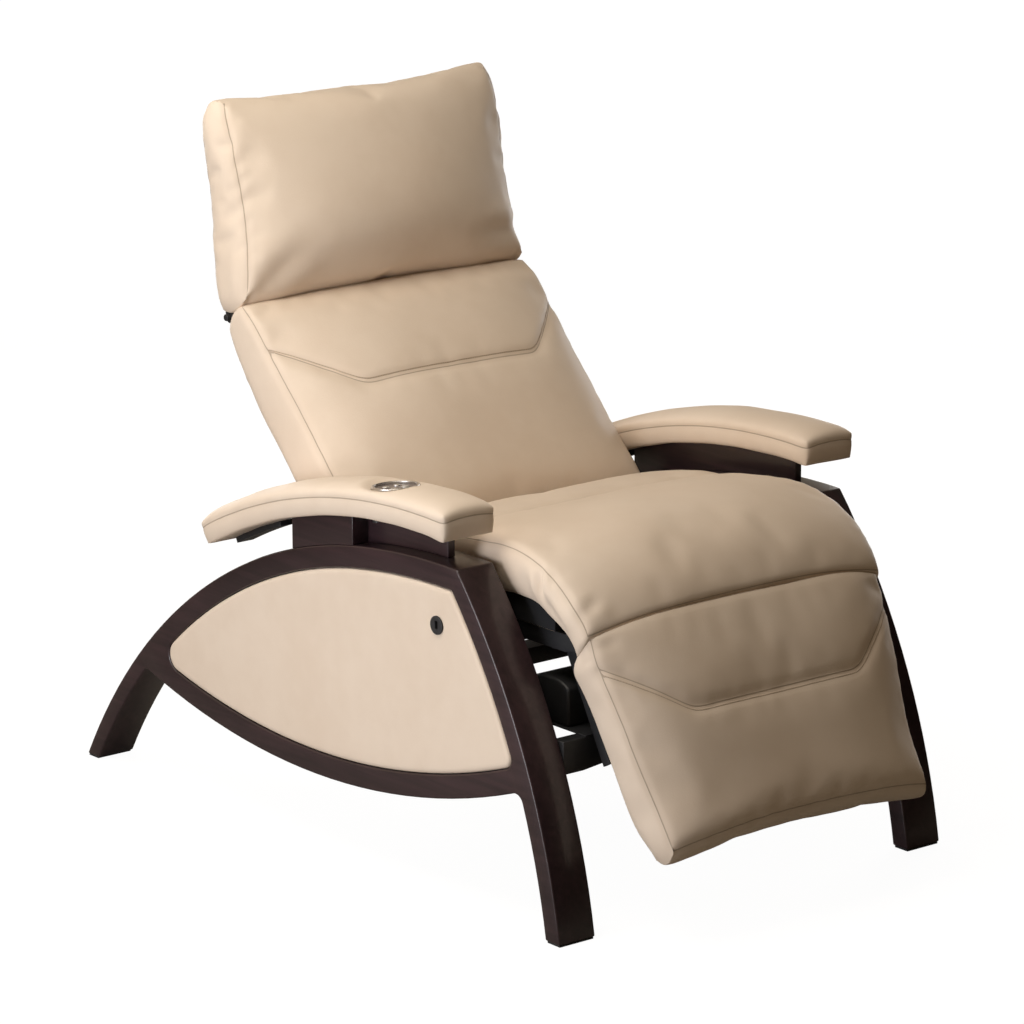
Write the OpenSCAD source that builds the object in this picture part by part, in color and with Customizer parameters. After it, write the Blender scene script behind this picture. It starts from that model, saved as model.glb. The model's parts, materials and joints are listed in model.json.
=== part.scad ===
// Powered massage recliner on two arched wooden side frames.
// Pieces are drawn in the side view: X across the chair, Y towards its back, Z up from the floor.
// Y = 0 of the drawing is near the front end of the arms; seated() moves it to the middle of the footprint.

/* [Side frames] */
// Width over the outer faces of the two side frames
frame_width = 690; // [680:1:720]
// Thickness of each wooden side frame
frame_thickness = 62; // [56:1:64]
// Height of the arch above the floor at its highest point
arch_height = 470; // [462:1:474]
// Distance of that highest point behind the drawing's origin
arch_peak = 90.7; // [80:0.1:100]
// Radius of the arch's outer edge over the rear leg
arch_radius = 924.5; // [915:0.5:935]
// Radius of the flatter outer edge over the front of the arch
arch_crown_radius = 1170; // [1150:1:1200]
// Angle from the vertical at which the two radii meet
arch_joint_angle = 8.9; // [7:0.1:11]
// Width of the arch's band above the panel
arch_band = 31.5; // [28:0.5:34]
// Width of the rear leg's band
rear_leg_width = 25; // [23:0.5:28]
// Radius of the front leg's front edge
leg_radius = 983.5; // [970:0.5:1000]
// Width of the front leg's band
front_leg_width = 29.3; // [27:0.1:32]
// Front edge of the front leg at the floor, in front of the origin
front_foot = 207.5; // [200:0.5:212]
// Depth of the front leg's arc centre below the floor
leg_centre_depth = 157; // [150:1:165]
// Radius of the lower rail's bottom edge
rail_radius = 1316.3; // [1300:0.1:1330]
// Height of the lower rail's lowest point
rail_height = 109.4; // [104:0.1:116]
// Distance of that lowest point behind the origin
rail_low = 344; // [335:1:352]
// Width of the lower rail's band
rail_band = 33.5; // [30:0.5:36]
// Fillet between the lower rail and the front leg
leg_fillet = 16; // [10:1:24]
// Thickness of each foot glide under the feet
glide_thickness = 3; // [2:0.5:5]

/* [Side panels] */
// Depth of the panel's seat behind the frame's outer face
panel_seat = 25; // [18:1:30]
// Overlap of the backing board behind the frame's inner edge
board_overlap = 10; // [7:1:12]
// Thickness of the backing board
board_thickness = 8; // [6:1:12]
// How far the padded panel stands proud of the frame
panel_proud = 1.5; // [0:0.5:4]
// Gap all round between panel and frame
panel_gap = 1.2; // [0.6:0.1:2.5]
// Diameter of the socket's bezel in the right panel
socket_diameter = 26; // [22:1:32]
// Position of the socket behind the origin
socket_back = 48; // [44:1:70]
// Height of the socket
socket_height = 387.5; // [370:0.5:395]

/* [Arms] */
// Width of each arm pad
pad_width = 82; // [74:1:88]
// Radius of the arm pad's underside
pad_radius = 1006; // [1000:1:1010]
// Thickness of the arm pad at its edge
pad_thickness = 32; // [29:1:36]
// Crown of the arm pad above its edge
pad_crown = 9; // [5:1:14]
// Overhang of the arm pad outside the side frame
pad_overhang = 19; // [12:1:24]
// Distance of the pad's arc centre behind the origin
pad_centre = 73; // [68:1:78]
// Height of the arm pad's underside where it is highest
pad_apex = 516; // [512:1:518]
// Thickness of the upright arm rail
arm_rail_thickness = 12; // [9:1:15]
// Distance of the arm rail's outer face from the frame's outer face
arm_rail_inset = 27; // [22:1:32]
// Front end of the arm rail behind the origin
arm_rail_front = 60; // [50:1:75]
// Rear end of the arm rail behind the origin
arm_rail_rear = 412; // [400:1:425]
// Front edge of the arm block behind the origin
arm_block_front = 236; // [225:1:245]
// Rear edge of the arm block behind the origin
arm_block_rear = 375; // [365:1:385]

/* [Keypad] */
// Outer diameter of the keypad
keypad_diameter = 66; // [60:1:72]
// Depth of the keypad's cup
keypad_depth = 24; // [20:1:28]
// Diameter of each button
button_diameter = 9.8; // [8:0.2:12]
// Distance between neighbouring buttons
button_pitch = 19; // [17:0.5:22]
// Travel of each button
button_travel = 1; // [0.5:0.1:1.4]

/* [Seat] */
// Width of the seat, back and leg rest over their side seams
cushion_width = 524; // [510:1:530]
// Crown of the seat over its thigh roll
seat_crown = 34; // [20:1:40]
// Thickness of the steel side rails
rail_plate = 6; // [5:0.5:8]
// Outside spacing of the steel side rails
rail_spacing = 498; // [488:1:502]
// Height of the steel side rails
rail_depth = 24; // [20:1:28]
// Diameter of the seat's pivot pins
seat_pin_diameter = 16; // [12:1:18]
// Diameter of the cross tubes
tube_diameter = 24; // [20:1:26]
// Running clearance on the radius of every bore
bore_clearance = 0.05; // [0.02:0.01:0.1]

/* [Back] */
// Angle of the back above the horizontal
back_angle = 46.4; // [44:0.1:50]
// Length of the back from its pivot to the pillow
back_length = 440; // [436:1:446]
// Height of the back's side seam above the pivot line
back_front = 35; // [32:1:38]
// Depth of the back's rear face behind the pivot line
back_rear = 50; // [48:1:54]
// Crown of the back cushion at the lumbar
back_crown = 46; // [30:1:52]
// Wall of the rear cover
cover_wall = 3; // [2:0.5:4]
// Diameter of the carriage's guide rods
rod_diameter = 12; // [10:1:14]
// Diameter of the kneading rollers
roller_diameter = 40; // [34:1:42]

/* [Headrest] */
// Width of the pillow over its front seams
pillow_width = 484; // [470:1:500]
// Crown of the pillow's front
pillow_crown = 40; // [25:1:45]

/* [Leg rest] */
// Angle of the leg rest below the horizontal
leg_angle = 61.5; // [58:0.5:64]
// Length of the leg rest from its pivot to its foot end
leg_length = 306; // [298:1:312]
// Crown of the leg cushion
leg_crown = 36; // [25:1:42]
// Thickness of the leg board
leg_board_thickness = 9; // [8:1:12]

/* [Actuator] */
// Diameter of the actuator's outer tube
actuator_diameter = 34; // [30:1:38]
// Diameter of the actuator's rod
rod_end_diameter = 20; // [16:1:22]
// Diameter of the pins at both ends of the actuator
actuator_pin = 10; // [8:1:12]
// Clearance round the upper pin in the rod's eye
eye_clearance = 1.5; // [1.2:0.1:2.5]

/* [Hidden] */

$fn = 48;
large_fn = 180;
far = 2000;

espresso = [0.16, 0.10, 0.09];
leather = [0.87, 0.80, 0.70];
black = [0.09, 0.09, 0.10];
steel = [0.42, 0.43, 0.45];

// Side frame outlines, in the side view
half_width = frame_width / 2;
frame_inner = half_width - frame_thickness;
arch_centre = [arch_peak, arch_height - arch_radius];
arch_overlap = 0.05;
crown_offset = arch_crown_radius - arch_radius + arch_overlap;
crown_centre = arch_centre - crown_offset * [sin(arch_joint_angle), cos(arch_joint_angle)];
leg_centre = [sqrt(pow(leg_radius, 2) - pow(leg_centre_depth, 2)) - front_foot, -leg_centre_depth];
rail_centre = [rail_low, rail_height + rail_radius];
rear_foot = arch_centre[0] + sqrt(pow(arch_radius, 2) - pow(arch_centre[1] - glide_thickness, 2));

// Pivots, in the side view
seat_pivot = [235, 378];
back_pivot = [319, 376];
leg_pivot = [-148, 388];
actuator_foot = [520, 190];
actuator_top = [60, 345];
headrest_pivot_along = back_length + 18;
headrest_pivot_height = -23;

// The middle of the footprint, from the rear feet to the front of the leg rest's foot end
leg_end = [leg_length, 16];
leg_end_low = [leg_length - 10, -24];
leg_end_crown = 0.7 * leg_crown;
leg_tip = leg_end + leg_end_crown * (leg_end - leg_end_low) / norm(leg_end - leg_end_low);
leg_front = leg_tip[0] * cos(leg_angle) + leg_tip[1] * sin(leg_angle) - leg_pivot[0];
plan_middle = (rear_foot - leg_front) / 2;

function polar(length, angle) = length * [cos(angle), sin(angle)];
function knot(list, i) = list[min(max(i, 0), len(list) - 1)];
// Smooth curve through a list of equally spaced knots, t counted in knots
function spline(list, t) =
  let (i = min(max(floor(t), 0), len(list) - 2), f = t - i)
  let (a = knot(list, i - 1), b = knot(list, i), c = knot(list, i + 1), d = knot(list, i + 2))
  b + 0.5 * f * (c - a + f * (2 * a - 5 * b + 4 * c - d + f * (3 * (b - c) + d - a)));
// Where two circles meet; side is 1 or -1
function circle_meet(c1, r1, c2, r2, side) =
  let (gap = norm(c2 - c1), along = (c2 - c1) / gap)
  let (a = (pow(r1, 2) - pow(r2, 2) + pow(gap, 2)) / (2 * gap))
  c1 + a * along + side * sqrt(pow(r1, 2) - pow(a, 2)) * [-along[1], along[0]];

module seated() {
  translate([0, -plan_middle, 0]) children();
}

// A side-view outline made into a plate from x outwards
module upright(x, thickness) {
  translate([x, 0, 0]) rotate([90, 0, 90]) linear_extrude(thickness) children();
}

// The same plate on both sides of the chair
module both_sides() {
  children();
  mirror([1, 0, 0]) children();
}

// A cylinder across the chair from x outwards, at a point of the side view
module across(x, length, radius, at) {
  translate([x, at[0], at[1]]) rotate([0, 90, 0]) cylinder(h = length, r = radius);
}

// Side view frames turned about a pivot: Y runs along the piece, Z out of its front
module at_back() {
  translate([0, back_pivot[0], back_pivot[1]]) rotate([back_angle, 0, 0]) children();
}
module at_leg() {
  translate([0, leg_pivot[0], leg_pivot[1]]) rotate([leg_angle, 0, 0]) mirror([0, 1, 0]) children();
}

// ---------- wooden side frames ----------

// The flatter circle over the front, cut behind the joint by the tighter one
module arch_disc(inset) {
  joint = arch_centre[0] + (arch_radius - inset) * sin(arch_joint_angle);
  difference() {
    translate(crown_centre) circle(arch_crown_radius - inset, $fn = large_fn);
    difference() {
      translate([joint, -far]) square([far, 2 * far]);
      translate(arch_centre) circle(arch_radius - inset, $fn = large_fn);
    }
  }
}

module leg_disc(inset) {
  translate(leg_centre) circle(leg_radius - inset, $fn = large_fn);
}

module rail_disc(inset) {
  translate(rail_centre) circle(rail_radius - inset, $fn = large_fn);
}

// What a fillet of radius r leaves solid where two arcs meet. way is 1 where the hollow lies
// inside that circle and -1 where it lies outside
module corner_fill(c1, r1, way1, c2, r2, way2, r, side) {
  middle = circle_meet(c1, r1 - way1 * r, c2, r2 - way2 * r, side);
  corner = circle_meet(c1, r1, c2, r2, side);
  touch1 = c1 + (middle - c1) * r1 / norm(middle - c1);
  touch2 = c2 + (middle - c2) * r2 / norm(middle - c2);
  difference() {
    polygon([
      middle, middle + 2.5 * (touch1 - middle), middle + 1.4 * (corner - middle),
      middle + 2.5 * (touch2 - middle)
    ]);
    translate(middle) circle(r);
  }
}

// The opening that the panel fills, grown by a margin
module window(grow) {
  arch_in = arch_radius - arch_band + grow;
  crown_in = arch_crown_radius - arch_band + grow;
  leg_in = leg_radius - front_leg_width + grow;
  rail_in = rail_radius - rail_band + grow;
  difference() {
    intersection() {
      arch_disc(arch_band - grow);
      leg_disc(front_leg_width - grow);
      rail_disc(rail_band - grow);
    }
    corner_fill(arch_centre, arch_in, 1, rail_centre, rail_in, 1, 25 + grow, -1);
    corner_fill(leg_centre, leg_in, 1, rail_centre, rail_in, 1, 15 + grow, 1);
    corner_fill(crown_centre, crown_in, 1, leg_centre, leg_in, 1, 6 + grow, 1);
  }
}

module under_rail() {
  arch_in = arch_radius - rear_leg_width;
  leg_in = leg_radius - front_leg_width;
  difference() {
    intersection() {
      arch_disc(rear_leg_width);
      leg_disc(front_leg_width);
    }
    rail_disc(0);
    corner_fill(leg_centre, leg_in, 1, rail_centre, rail_radius, -1, leg_fillet, 1);
    corner_fill(arch_centre, arch_in, 1, rail_centre, rail_radius, -1, 8, -1);
  }
}

module frame_outline() {
  difference() {
    intersection() {
      arch_disc(0);
      leg_disc(0);
      translate([-far, glide_thickness]) square([2 * far, far]);
    }
    under_rail();
    window(0);
  }
}

module side_frame() {
  color(espresso) difference() {
    upright(frame_inner, frame_thickness) frame_outline();
    upright(frame_inner - 1, frame_thickness - panel_seat + 1) window(board_overlap);
  }
}
module side_frame_left() {
  seated() side_frame();
}
module side_frame_right() {
  seated() mirror([1, 0, 0]) side_frame();
}

socket_at = [socket_back, socket_height];
socket_barrel = socket_diameter / 2 - 3;
panel_back = half_width - panel_seat;
panel_face = half_width + panel_proud;

module panel_board() {
  color(black) upright(panel_back - board_thickness, board_thickness) window(board_overlap - 0.5);
}
module side_panel() {
  color(leather) upright(panel_back, panel_seat + panel_proud) window(-panel_gap);
}
module socket_hole() {
  across(panel_back - board_thickness - 1, far, socket_barrel + 0.3, socket_at);
}
module panel_board_left() {
  seated() panel_board();
}
module panel_board_right() {
  seated() mirror([1, 0, 0]) difference() {
    panel_board();
    socket_hole();
  }
}
module side_panel_left() {
  seated() side_panel();
}
module side_panel_right() {
  seated() mirror([1, 0, 0]) difference() {
    side_panel();
    socket_hole();
  }
}

socket_flange = 2.5;
socket_depth = panel_seat + board_thickness;
module panel_socket() {
  color(black) seated() mirror([1, 0, 0]) difference() {
    union() {
      across(panel_face, socket_flange, socket_diameter / 2, socket_at);
      across(panel_face - socket_depth, socket_depth + 0.1, socket_barrel, socket_at);
    }
    translate([panel_face - 12, socket_at[0] - 3, socket_at[1] - 6]) cube([20, 6, 12]);
  }
}
module socket_core() {
  color(steel) seated() mirror([1, 0, 0])
    translate([panel_face - 12, socket_at[0] - 1, socket_at[1] - 4.5]) cube([6, 2, 9]);
}

module foot_glides() {
  color(black) seated() both_sides() upright(frame_inner + 2, frame_thickness - 4) difference() {
    intersection() {
      arch_disc(2);
      leg_disc(2);
      translate([-far, 0]) square([2 * far, glide_thickness]);
    }
    intersection() {
      arch_disc(rear_leg_width - 2);
      leg_disc(front_leg_width - 2);
    }
  }
}

// ---------- cross members ----------

front_stretcher_y = -140;
front_stretcher_z = 210;
stretcher_height = 46;
stretcher_depth = 22;
module front_stretcher() {
  color(black) seated() difference() {
    translate([-frame_inner, front_stretcher_y, front_stretcher_z])
      cube([2 * frame_inner, stretcher_depth, stretcher_height]);
    // the bottom edge is arched
    translate([0, front_stretcher_y - 1, front_stretcher_z + 14 - 2200]) rotate([-90, 0, 0])
      cylinder(h = stretcher_depth + 2, r = 2200, $fn = large_fn);
  }
}

rear_beam = [520, 130];
rear_beam_depth = 40;
rear_beam_height = 26;
module rear_stretcher() {
  color(black) seated()
    translate([-frame_inner, rear_beam[0] - rear_beam_depth / 2, rear_beam[1]])
      cube([2 * frame_inner, rear_beam_depth, rear_beam_height]);
}

tray_thickness = 2;
tray_top = front_stretcher_z + stretcher_height + tray_thickness;
box_front = -98;
box_length = 82;
box_width = 480;
box_height = 62;
tray_margin = 5;
module control_tray() {
  color(black) seated() {
    tray_front = front_stretcher_y;
    translate([-box_width / 2 - tray_margin, tray_front, tray_top - tray_thickness])
      cube([box_width + 2 * tray_margin, box_front + box_length - tray_front, tray_thickness]);
  }
}
module control_box() {
  color(black) seated() intersection() {
    translate([-box_width / 2, box_front, tray_top]) cube([box_width, box_length, box_height]);
    translate([-box_width / 2 - 1, box_front + box_length / 2, tray_top - 20]) rotate([0, 90, 0])
      cylinder(h = box_width + 2, r = box_height + 22, $fn = 96);
  }
}

supply_y = rear_beam[0] + rear_beam_depth / 2;
supply_length = 70;
inlet_depth = 20;
inlet_y = supply_y + supply_length - inlet_depth;
module power_supply() {
  color(black) seated() difference() {
    translate([-70, supply_y, rear_beam[1]]) cube([140, supply_length, 48]);
    translate([20, inlet_y, rear_beam[1] + 12]) cube([28, far, 20]);
  }
}
module power_inlet() {
  color(steel) seated() {
    for (pin = [[34, 28], [27, 20], [41, 20]])
      translate([pin[0] - 1, inlet_y, rear_beam[1] + pin[1] - 3]) cube([2, 12, 4]);
  }
}

// ---------- arms ----------

pad_arc = [pad_centre, pad_apex - pad_radius];
pad_inner_x = half_width + pad_overhang - pad_width;
pad_front_angle = 93.65;
pad_rear_angle = 61.8;
pad_top = pad_radius + pad_thickness;

module pad_disc() {
  translate(pad_arc) circle(pad_radius, $fn = large_fn);
}

module between_arch_and_pad(from, to) {
  intersection() {
    difference() {
      pad_disc();
      arch_disc(0);
    }
    translate([from, 0]) square([to - from, far]);
  }
}

arm_rail_x = half_width - arm_rail_inset - arm_rail_thickness;
module arm_rail() {
  color(espresso) upright(arm_rail_x, arm_rail_thickness)
    between_arch_and_pad(arm_rail_front, arm_rail_rear);
}
module arm_rail_left() {
  seated() arm_rail();
}
module arm_rail_right() {
  seated() mirror([1, 0, 0]) arm_rail();
}

module arm_block() {
  color(espresso) upright(half_width - arm_rail_inset, arm_rail_inset)
    between_arch_and_pad(arm_block_front, arm_block_rear);
}
module arm_block_left() {
  seated() arm_block();
}
module arm_block_right() {
  seated() mirror([1, 0, 0]) arm_block();
}

function pad_crown_at(u) = pad_top + pad_crown * (1 - pow(abs(u), 2.4));
pad_section = concat(
  [[pad_radius, pad_inner_x + 3], [pad_radius + 4, pad_inner_x]],
  [for (j = [-6:6]) [pad_crown_at(sin(15 * j)), pad_inner_x + pad_width * (1 + sin(15 * j)) / 2]],
  [[pad_radius + 4, pad_inner_x + pad_width], [pad_radius, pad_inner_x + pad_width - 3]]
);

// The pad's plan has rounded corners
pad_corner = 9;
module pad_plan() {
  y_front = pad_arc[0] + pad_top * cos(pad_front_angle);
  y_rear = pad_arc[0] + pad_top * cos(pad_rear_angle);
  translate([pad_inner_x - 1 + pad_corner, y_front - 1]) square([pad_width + 2 - 2 * pad_corner, far]);
  translate([pad_inner_x - 1, y_front - 1 + pad_corner])
    square([pad_width + 2, y_rear - y_front + 2 - 2 * pad_corner]);
  for (x = [pad_inner_x - 1 + pad_corner, pad_inner_x + pad_width + 1 - pad_corner]) {
    for (y = [y_front - 1 + pad_corner, y_rear + 1 - pad_corner])
      translate([x, y]) circle(pad_corner);
  }
}
module arm_pad() {
  color(leather) intersection() {
    translate([0, pad_arc[0], pad_arc[1]]) rotate([90, 0, 90]) rotate([0, 0, pad_rear_angle])
      rotate_extrude(angle = pad_front_angle - pad_rear_angle, $fn = large_fn) polygon(pad_section);
    linear_extrude(far) pad_plan();
  }
}

// The keypad stands square to the pad's crown
keypad_x = -(pad_inner_x + pad_width / 2);
keypad_y = 168;
keypad_tilt = asin((keypad_y - pad_arc[0]) / (pad_top + pad_crown));
keypad_z = pad_arc[1] + (pad_top + pad_crown) * cos(keypad_tilt);
keypad_radius = keypad_diameter / 2;
module at_keypad() {
  translate([keypad_x, keypad_y, keypad_z]) rotate([-keypad_tilt, 0, 0]) children();
}

module arm_pad_left() {
  seated() arm_pad();
}
module arm_pad_right() {
  seated() difference() {
    mirror([1, 0, 0]) arm_pad();
    at_keypad() translate([0, 0, -keypad_depth]) cylinder(h = 60, r = keypad_radius + 0.3);
  }
}

// Steel straps carry the pad's rear overhang, angle brackets hold the rail to the pad
strap_thickness = 8;
module arm_straps() {
  color(black) seated() both_sides() translate([0, pad_arc[0], pad_arc[1]]) rotate([90, 0, 90])
    rotate([0, 0, pad_rear_angle + 1.2]) rotate_extrude(angle = 6.6, $fn = large_fn)
      translate([pad_radius - strap_thickness, arm_rail_x - 4]) square([strap_thickness, 28]);
}

bracket_leg = 16;
module arm_brackets() {
  color(steel) seated() both_sides() for (y = [222, 395]) {
    drop = asin((y - pad_arc[0]) / pad_radius);
    translate([0, pad_arc[0], pad_arc[1]]) rotate([-drop, 0, 0]) {
      translate([half_width - arm_rail_inset, -5, pad_radius - 1.5 - 0.2]) cube([bracket_leg, 10, 1.5]);
      translate([half_width - arm_rail_inset, -5, pad_radius - bracket_leg]) cube([1.5, 10, bracket_leg - 1]);
    }
  }
}

// ---------- keypad ----------

cup_wall = 2;
rim_height = 3;
plate_thickness = 2;
plate_radius = keypad_radius - 3.7;
button_radius = button_diameter / 2;
button_rise = 1.8;
flange_radius = button_radius + 1.2;
button_gap = 0.1;
button_flange = 1.5;
plate_under = -rim_height - plate_thickness;

module keypad_cup() {
  color(black) seated() at_keypad() difference() {
    translate([0, 0, -keypad_depth]) cylinder(h = keypad_depth - rim_height, r = keypad_radius);
    translate([0, 0, cup_wall - keypad_depth]) cylinder(h = keypad_depth, r = keypad_radius - cup_wall);
  }
}
board_top = plate_under - 2 * button_flange - 0.3 - button_travel - 0.7;
module keypad_board() {
  color([0.10, 0.28, 0.18]) seated() at_keypad() {
    translate([0, 0, board_top - 1.6]) cylinder(h = 1.6, r = keypad_radius - cup_wall - 0.3);
    for (a = [0:120:240]) {
      stand = keypad_depth - cup_wall + board_top - 1.6;
      translate([polar(20, a)[0], polar(20, a)[1], cup_wall - keypad_depth]) cylinder(h = stand, r = 3);
    }
  }
}
module keypad_plate() {
  color([0.45, 0.41, 0.39]) seated() at_keypad() difference() {
    translate([0, 0, plate_under]) cylinder(h = plate_thickness, r = keypad_radius - cup_wall - 0.1);
    for (x = [-1, 1], y = [-1, 1])
      translate([x * button_pitch / 2, y * button_pitch / 2, -20])
        cylinder(h = 40, r = button_radius + button_gap);
  }
}
module keypad_rim() {
  color([0.85, 0.86, 0.88]) seated() at_keypad() difference() {
    translate([0, 0, -rim_height]) cylinder(h = rim_height + 0.8, r = keypad_radius);
    translate([0, 0, -rim_height - 1]) cylinder(h = rim_height + 3, r = plate_radius);
  }
}
module button(x, y) {
  color([0.80, 0.82, 0.85]) seated() at_keypad() translate([x * button_pitch / 2, y * button_pitch / 2, 0]) {
    flange_under = plate_under - 0.3 - button_flange;
    translate([0, 0, plate_under - 0.3]) cylinder(h = plate_thickness + 0.3 + button_rise, r = button_radius);
    translate([0, 0, flange_under]) cylinder(h = button_flange, r = flange_radius);
    translate([0, 0, flange_under - button_flange]) cylinder(h = button_flange, r = 1.5);
  }
}
module button_front_outer() {
  button(-1, -1);
}
module button_front_inner() {
  button(1, -1);
}
module button_rear_outer() {
  button(-1, 1);
}
module button_rear_inner() {
  button(1, 1);
}

// ---------- seat pivots on the side frames ----------

rail_outer = rail_spacing / 2;
rail_inner_face = rail_outer - rail_plate;
bracket_thickness = 6;
seat_pin = seat_pin_diameter / 2;
bracket_face = frame_inner - bracket_thickness;
bracket_screws = [[seat_pivot[0] - 18, 438], [seat_pivot[0] + 18, 434]];

module pivot_brackets() {
  color(steel) seated() both_sides() difference() {
    upright(bracket_face, bracket_thickness) difference() {
      union() {
        translate([seat_pivot[0] - 30, seat_pivot[1]]) square([60, 70]);
        translate(seat_pivot) circle(30);
      }
      translate(seat_pivot) circle(seat_pin + bore_clearance);
      for (screw = bracket_screws)
        translate(screw) circle(3.2);
    }
  }
}
module pivot_pins() {
  color(steel) seated() both_sides() {
    across(rail_inner_face - 4.3, 4, seat_pin + 2.5, seat_pivot);
    across(rail_inner_face - 0.5, frame_inner - rail_inner_face + 0.5, seat_pin, seat_pivot);
    across(rail_outer + 0.3, bracket_face - rail_outer - 0.3, seat_pin + 4, seat_pivot);
  }
}

// Countersunk wood screws from inside: pivot brackets to the arch
module frame_screws() {
  color([0.6, 0.6, 0.62]) seated() both_sides() for (screw = bracket_screws) {
    across(bracket_face - 3, 3, 6, screw);
    across(bracket_face - 0.5, bracket_thickness + 0.4, 3, screw);
  }
}

// ---------- actuator ----------

actuator_line = actuator_top - actuator_foot;
actuator_length = norm(actuator_line);
actuator_slope = atan2(actuator_line[1], actuator_line[0]);
motor_radius = 26;
tube_length = 300;
pin_radius = actuator_pin / 2;
module at_actuator() {
  translate([0, actuator_foot[0], actuator_foot[1]]) rotate([actuator_slope, 0, 0]) children();
}

clevis_gap = 30;
clevis_wall = 5;
module actuator_clevis() {
  color(steel) seated() {
    for (side = [-1, 1]) {
      translate([side * (clevis_gap + clevis_wall) / 2 - clevis_wall / 2, 0, 0]) rotate([90, 0, 90])
        linear_extrude(clevis_wall) difference() {
          union() {
            translate([actuator_foot[0] - 18, rear_beam[1] + rear_beam_height])
              square([36, actuator_foot[1] - rear_beam[1] - rear_beam_height]);
            translate(actuator_foot) circle(18);
          }
          translate(actuator_foot) circle(pin_radius + bore_clearance);
        }
    }
    across(-clevis_gap / 2 - clevis_wall - 1, clevis_gap + 2 * clevis_wall + 2, pin_radius, actuator_foot);
  }
}
module actuator_body() {
  color(black) seated() at_actuator() difference() {
    union() {
      // eye, gear housing, cross motor and outer tube
      translate([-12, 0, 0]) rotate([0, 90, 0]) cylinder(h = 24, r = 14);
      translate([-12, 0, -14]) cube([24, 40, 28]);
      translate([-24, 22, -24]) cube([48, 50, 48]);
      translate([0, 60, 0]) rotate([-90, 0, 0]) cylinder(h = tube_length - 60, r = actuator_diameter / 2);
      translate([0, 47, -20]) rotate([180, 0, 0]) cylinder(h = 1, r = 20);
      translate([24, 47, 0]) rotate([0, 90, 0]) cylinder(h = 90, r = motor_radius - 2);
    }
    translate([-20, 0, 0]) rotate([0, 90, 0]) cylinder(h = 40, r = pin_radius + bore_clearance);
    translate([0, 90, 0]) rotate([-90, 0, 0])
      cylinder(h = tube_length, r = rod_end_diameter / 2 + bore_clearance);
  }
}
module actuator_rod() {
  color([0.75, 0.76, 0.78]) seated() at_actuator() difference() {
    union() {
      translate([0, 140, 0]) rotate([-90, 0, 0]) cylinder(h = actuator_length - 150, r = rod_end_diameter / 2);
      translate([-eye_width / 2, actuator_length, 0]) rotate([0, 90, 0]) cylinder(h = eye_width, r = 15);
    }
    translate([-20, actuator_length, 0]) rotate([0, 90, 0]) cylinder(h = 40, r = pin_radius + eye_clearance);
  }
}
module rod_pin() {
  pin_length = lug_gap + 2 * lug_wall + 8;
  color(steel) seated() across(-pin_length / 2, pin_length, pin_radius, actuator_top);
}

// ---------- seat ----------

rail_low_edge = seat_pivot[1] - rail_depth / 2;
rail_top = seat_pivot[1] + rail_depth / 2;
pivot_pin = 6;
leg_boss = 12;
tube_z = rail_top - 4 - tube_diameter / 2;
tube_rows = [-70, 60, 280];
eye_width = rod_end_diameter - 4;
lug_gap = rod_end_diameter + 3;
lug_wall = 5;

module seat_rail_outline() {
  difference() {
    union() {
      translate([-105, rail_low_edge]) square([back_pivot[0] + 105, rail_depth]);
      polygon([
        [-100, rail_low_edge], [-100, rail_top], leg_pivot + polar(leg_boss, 75),
        leg_pivot + polar(leg_boss, 255)
      ]);
      translate(leg_pivot) circle(leg_boss);
      translate(back_pivot) circle(16);
      // the seat pivot's boss is cut level with the rail, under the seat pan
      intersection() {
        translate(seat_pivot) circle(20);
        translate([-far, rail_top - far]) square([2 * far, far]);
      }
    }
    translate(leg_pivot) circle(pivot_pin + bore_clearance);
    translate(back_pivot) circle(pivot_pin + bore_clearance);
    translate(seat_pivot) circle(seat_pin + bore_clearance);
  }
}
module seat_frame() {
  color(steel) seated() {
    both_sides() upright(rail_inner_face, rail_plate) seat_rail_outline();
    for (y = tube_rows)
      across(-rail_inner_face, 2 * rail_inner_face, tube_diameter / 2, [y, tube_z]);
    // lugs that take the actuator's rod
    for (side = [-1, 1]) {
      translate([side * (lug_gap + lug_wall) / 2 - lug_wall / 2, 0, 0]) rotate([90, 0, 90])
        linear_extrude(lug_wall) difference() {
          union() {
            translate([actuator_top[0] - 14, actuator_top[1]]) square([28, tube_z - actuator_top[1]]);
            translate(actuator_top) circle(14);
          }
          translate(actuator_top) circle(pin_radius + bore_clearance);
        }
    }
  }
}

pan_thickness = 14;
pan_bottom = rail_top;
pan_half = rail_outer + 1;
pan_front = -82;
pan_rear = 288;
module seat_pan() {
  color([0.72, 0.58, 0.40]) seated() translate([0, 0, pan_bottom]) difference() {
    translate([-pan_half, pan_front, 0]) cube([2 * pan_half, pan_rear - pan_front, pan_thickness]);
    translate([-pan_half + 50, pan_front + 50, -1])
      cube([2 * pan_half - 100, pan_rear - pan_front - 100, pan_thickness + 2]);
  }
}

strap_width = 50;
strap_sheet = 1.6;
module seat_straps() {
  color([0.20, 0.20, 0.22]) seated() for (row = [0:3])
    translate([-pan_half + 20, pan_front + 50 + row * 76, pan_bottom + pan_thickness])
      cube([2 * pan_half - 40, strap_width, strap_sheet]);
}
vibrator_height = 14;
module seat_vibrator() {
  color(black) seated()
    translate([0, pan_front + 50 + 76 + strap_width / 2, pan_bottom + pan_thickness - vibrator_height])
      cylinder(h = vibrator_height, r = 24);
}

// ---------- cushions ----------

// One knot of a cushion: side seam point and underside point in the side view, half width at the
// seam, crown of the top face, height of the pocket in the underside, half width at the underside
top_angles = [for (j = [6:-1:-6]) 15 * j];
ring = concat(
  [for (a = top_angles) [sin(a), 1]],
  [[-1, 0.7], [-1, 0.35], [-1, 0], [-0.42, 0], [-0.4, -1], [0.4, -1], [0.42, 0], [1, 0], [1, 0.35], [1, 0.7]]
);

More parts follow.
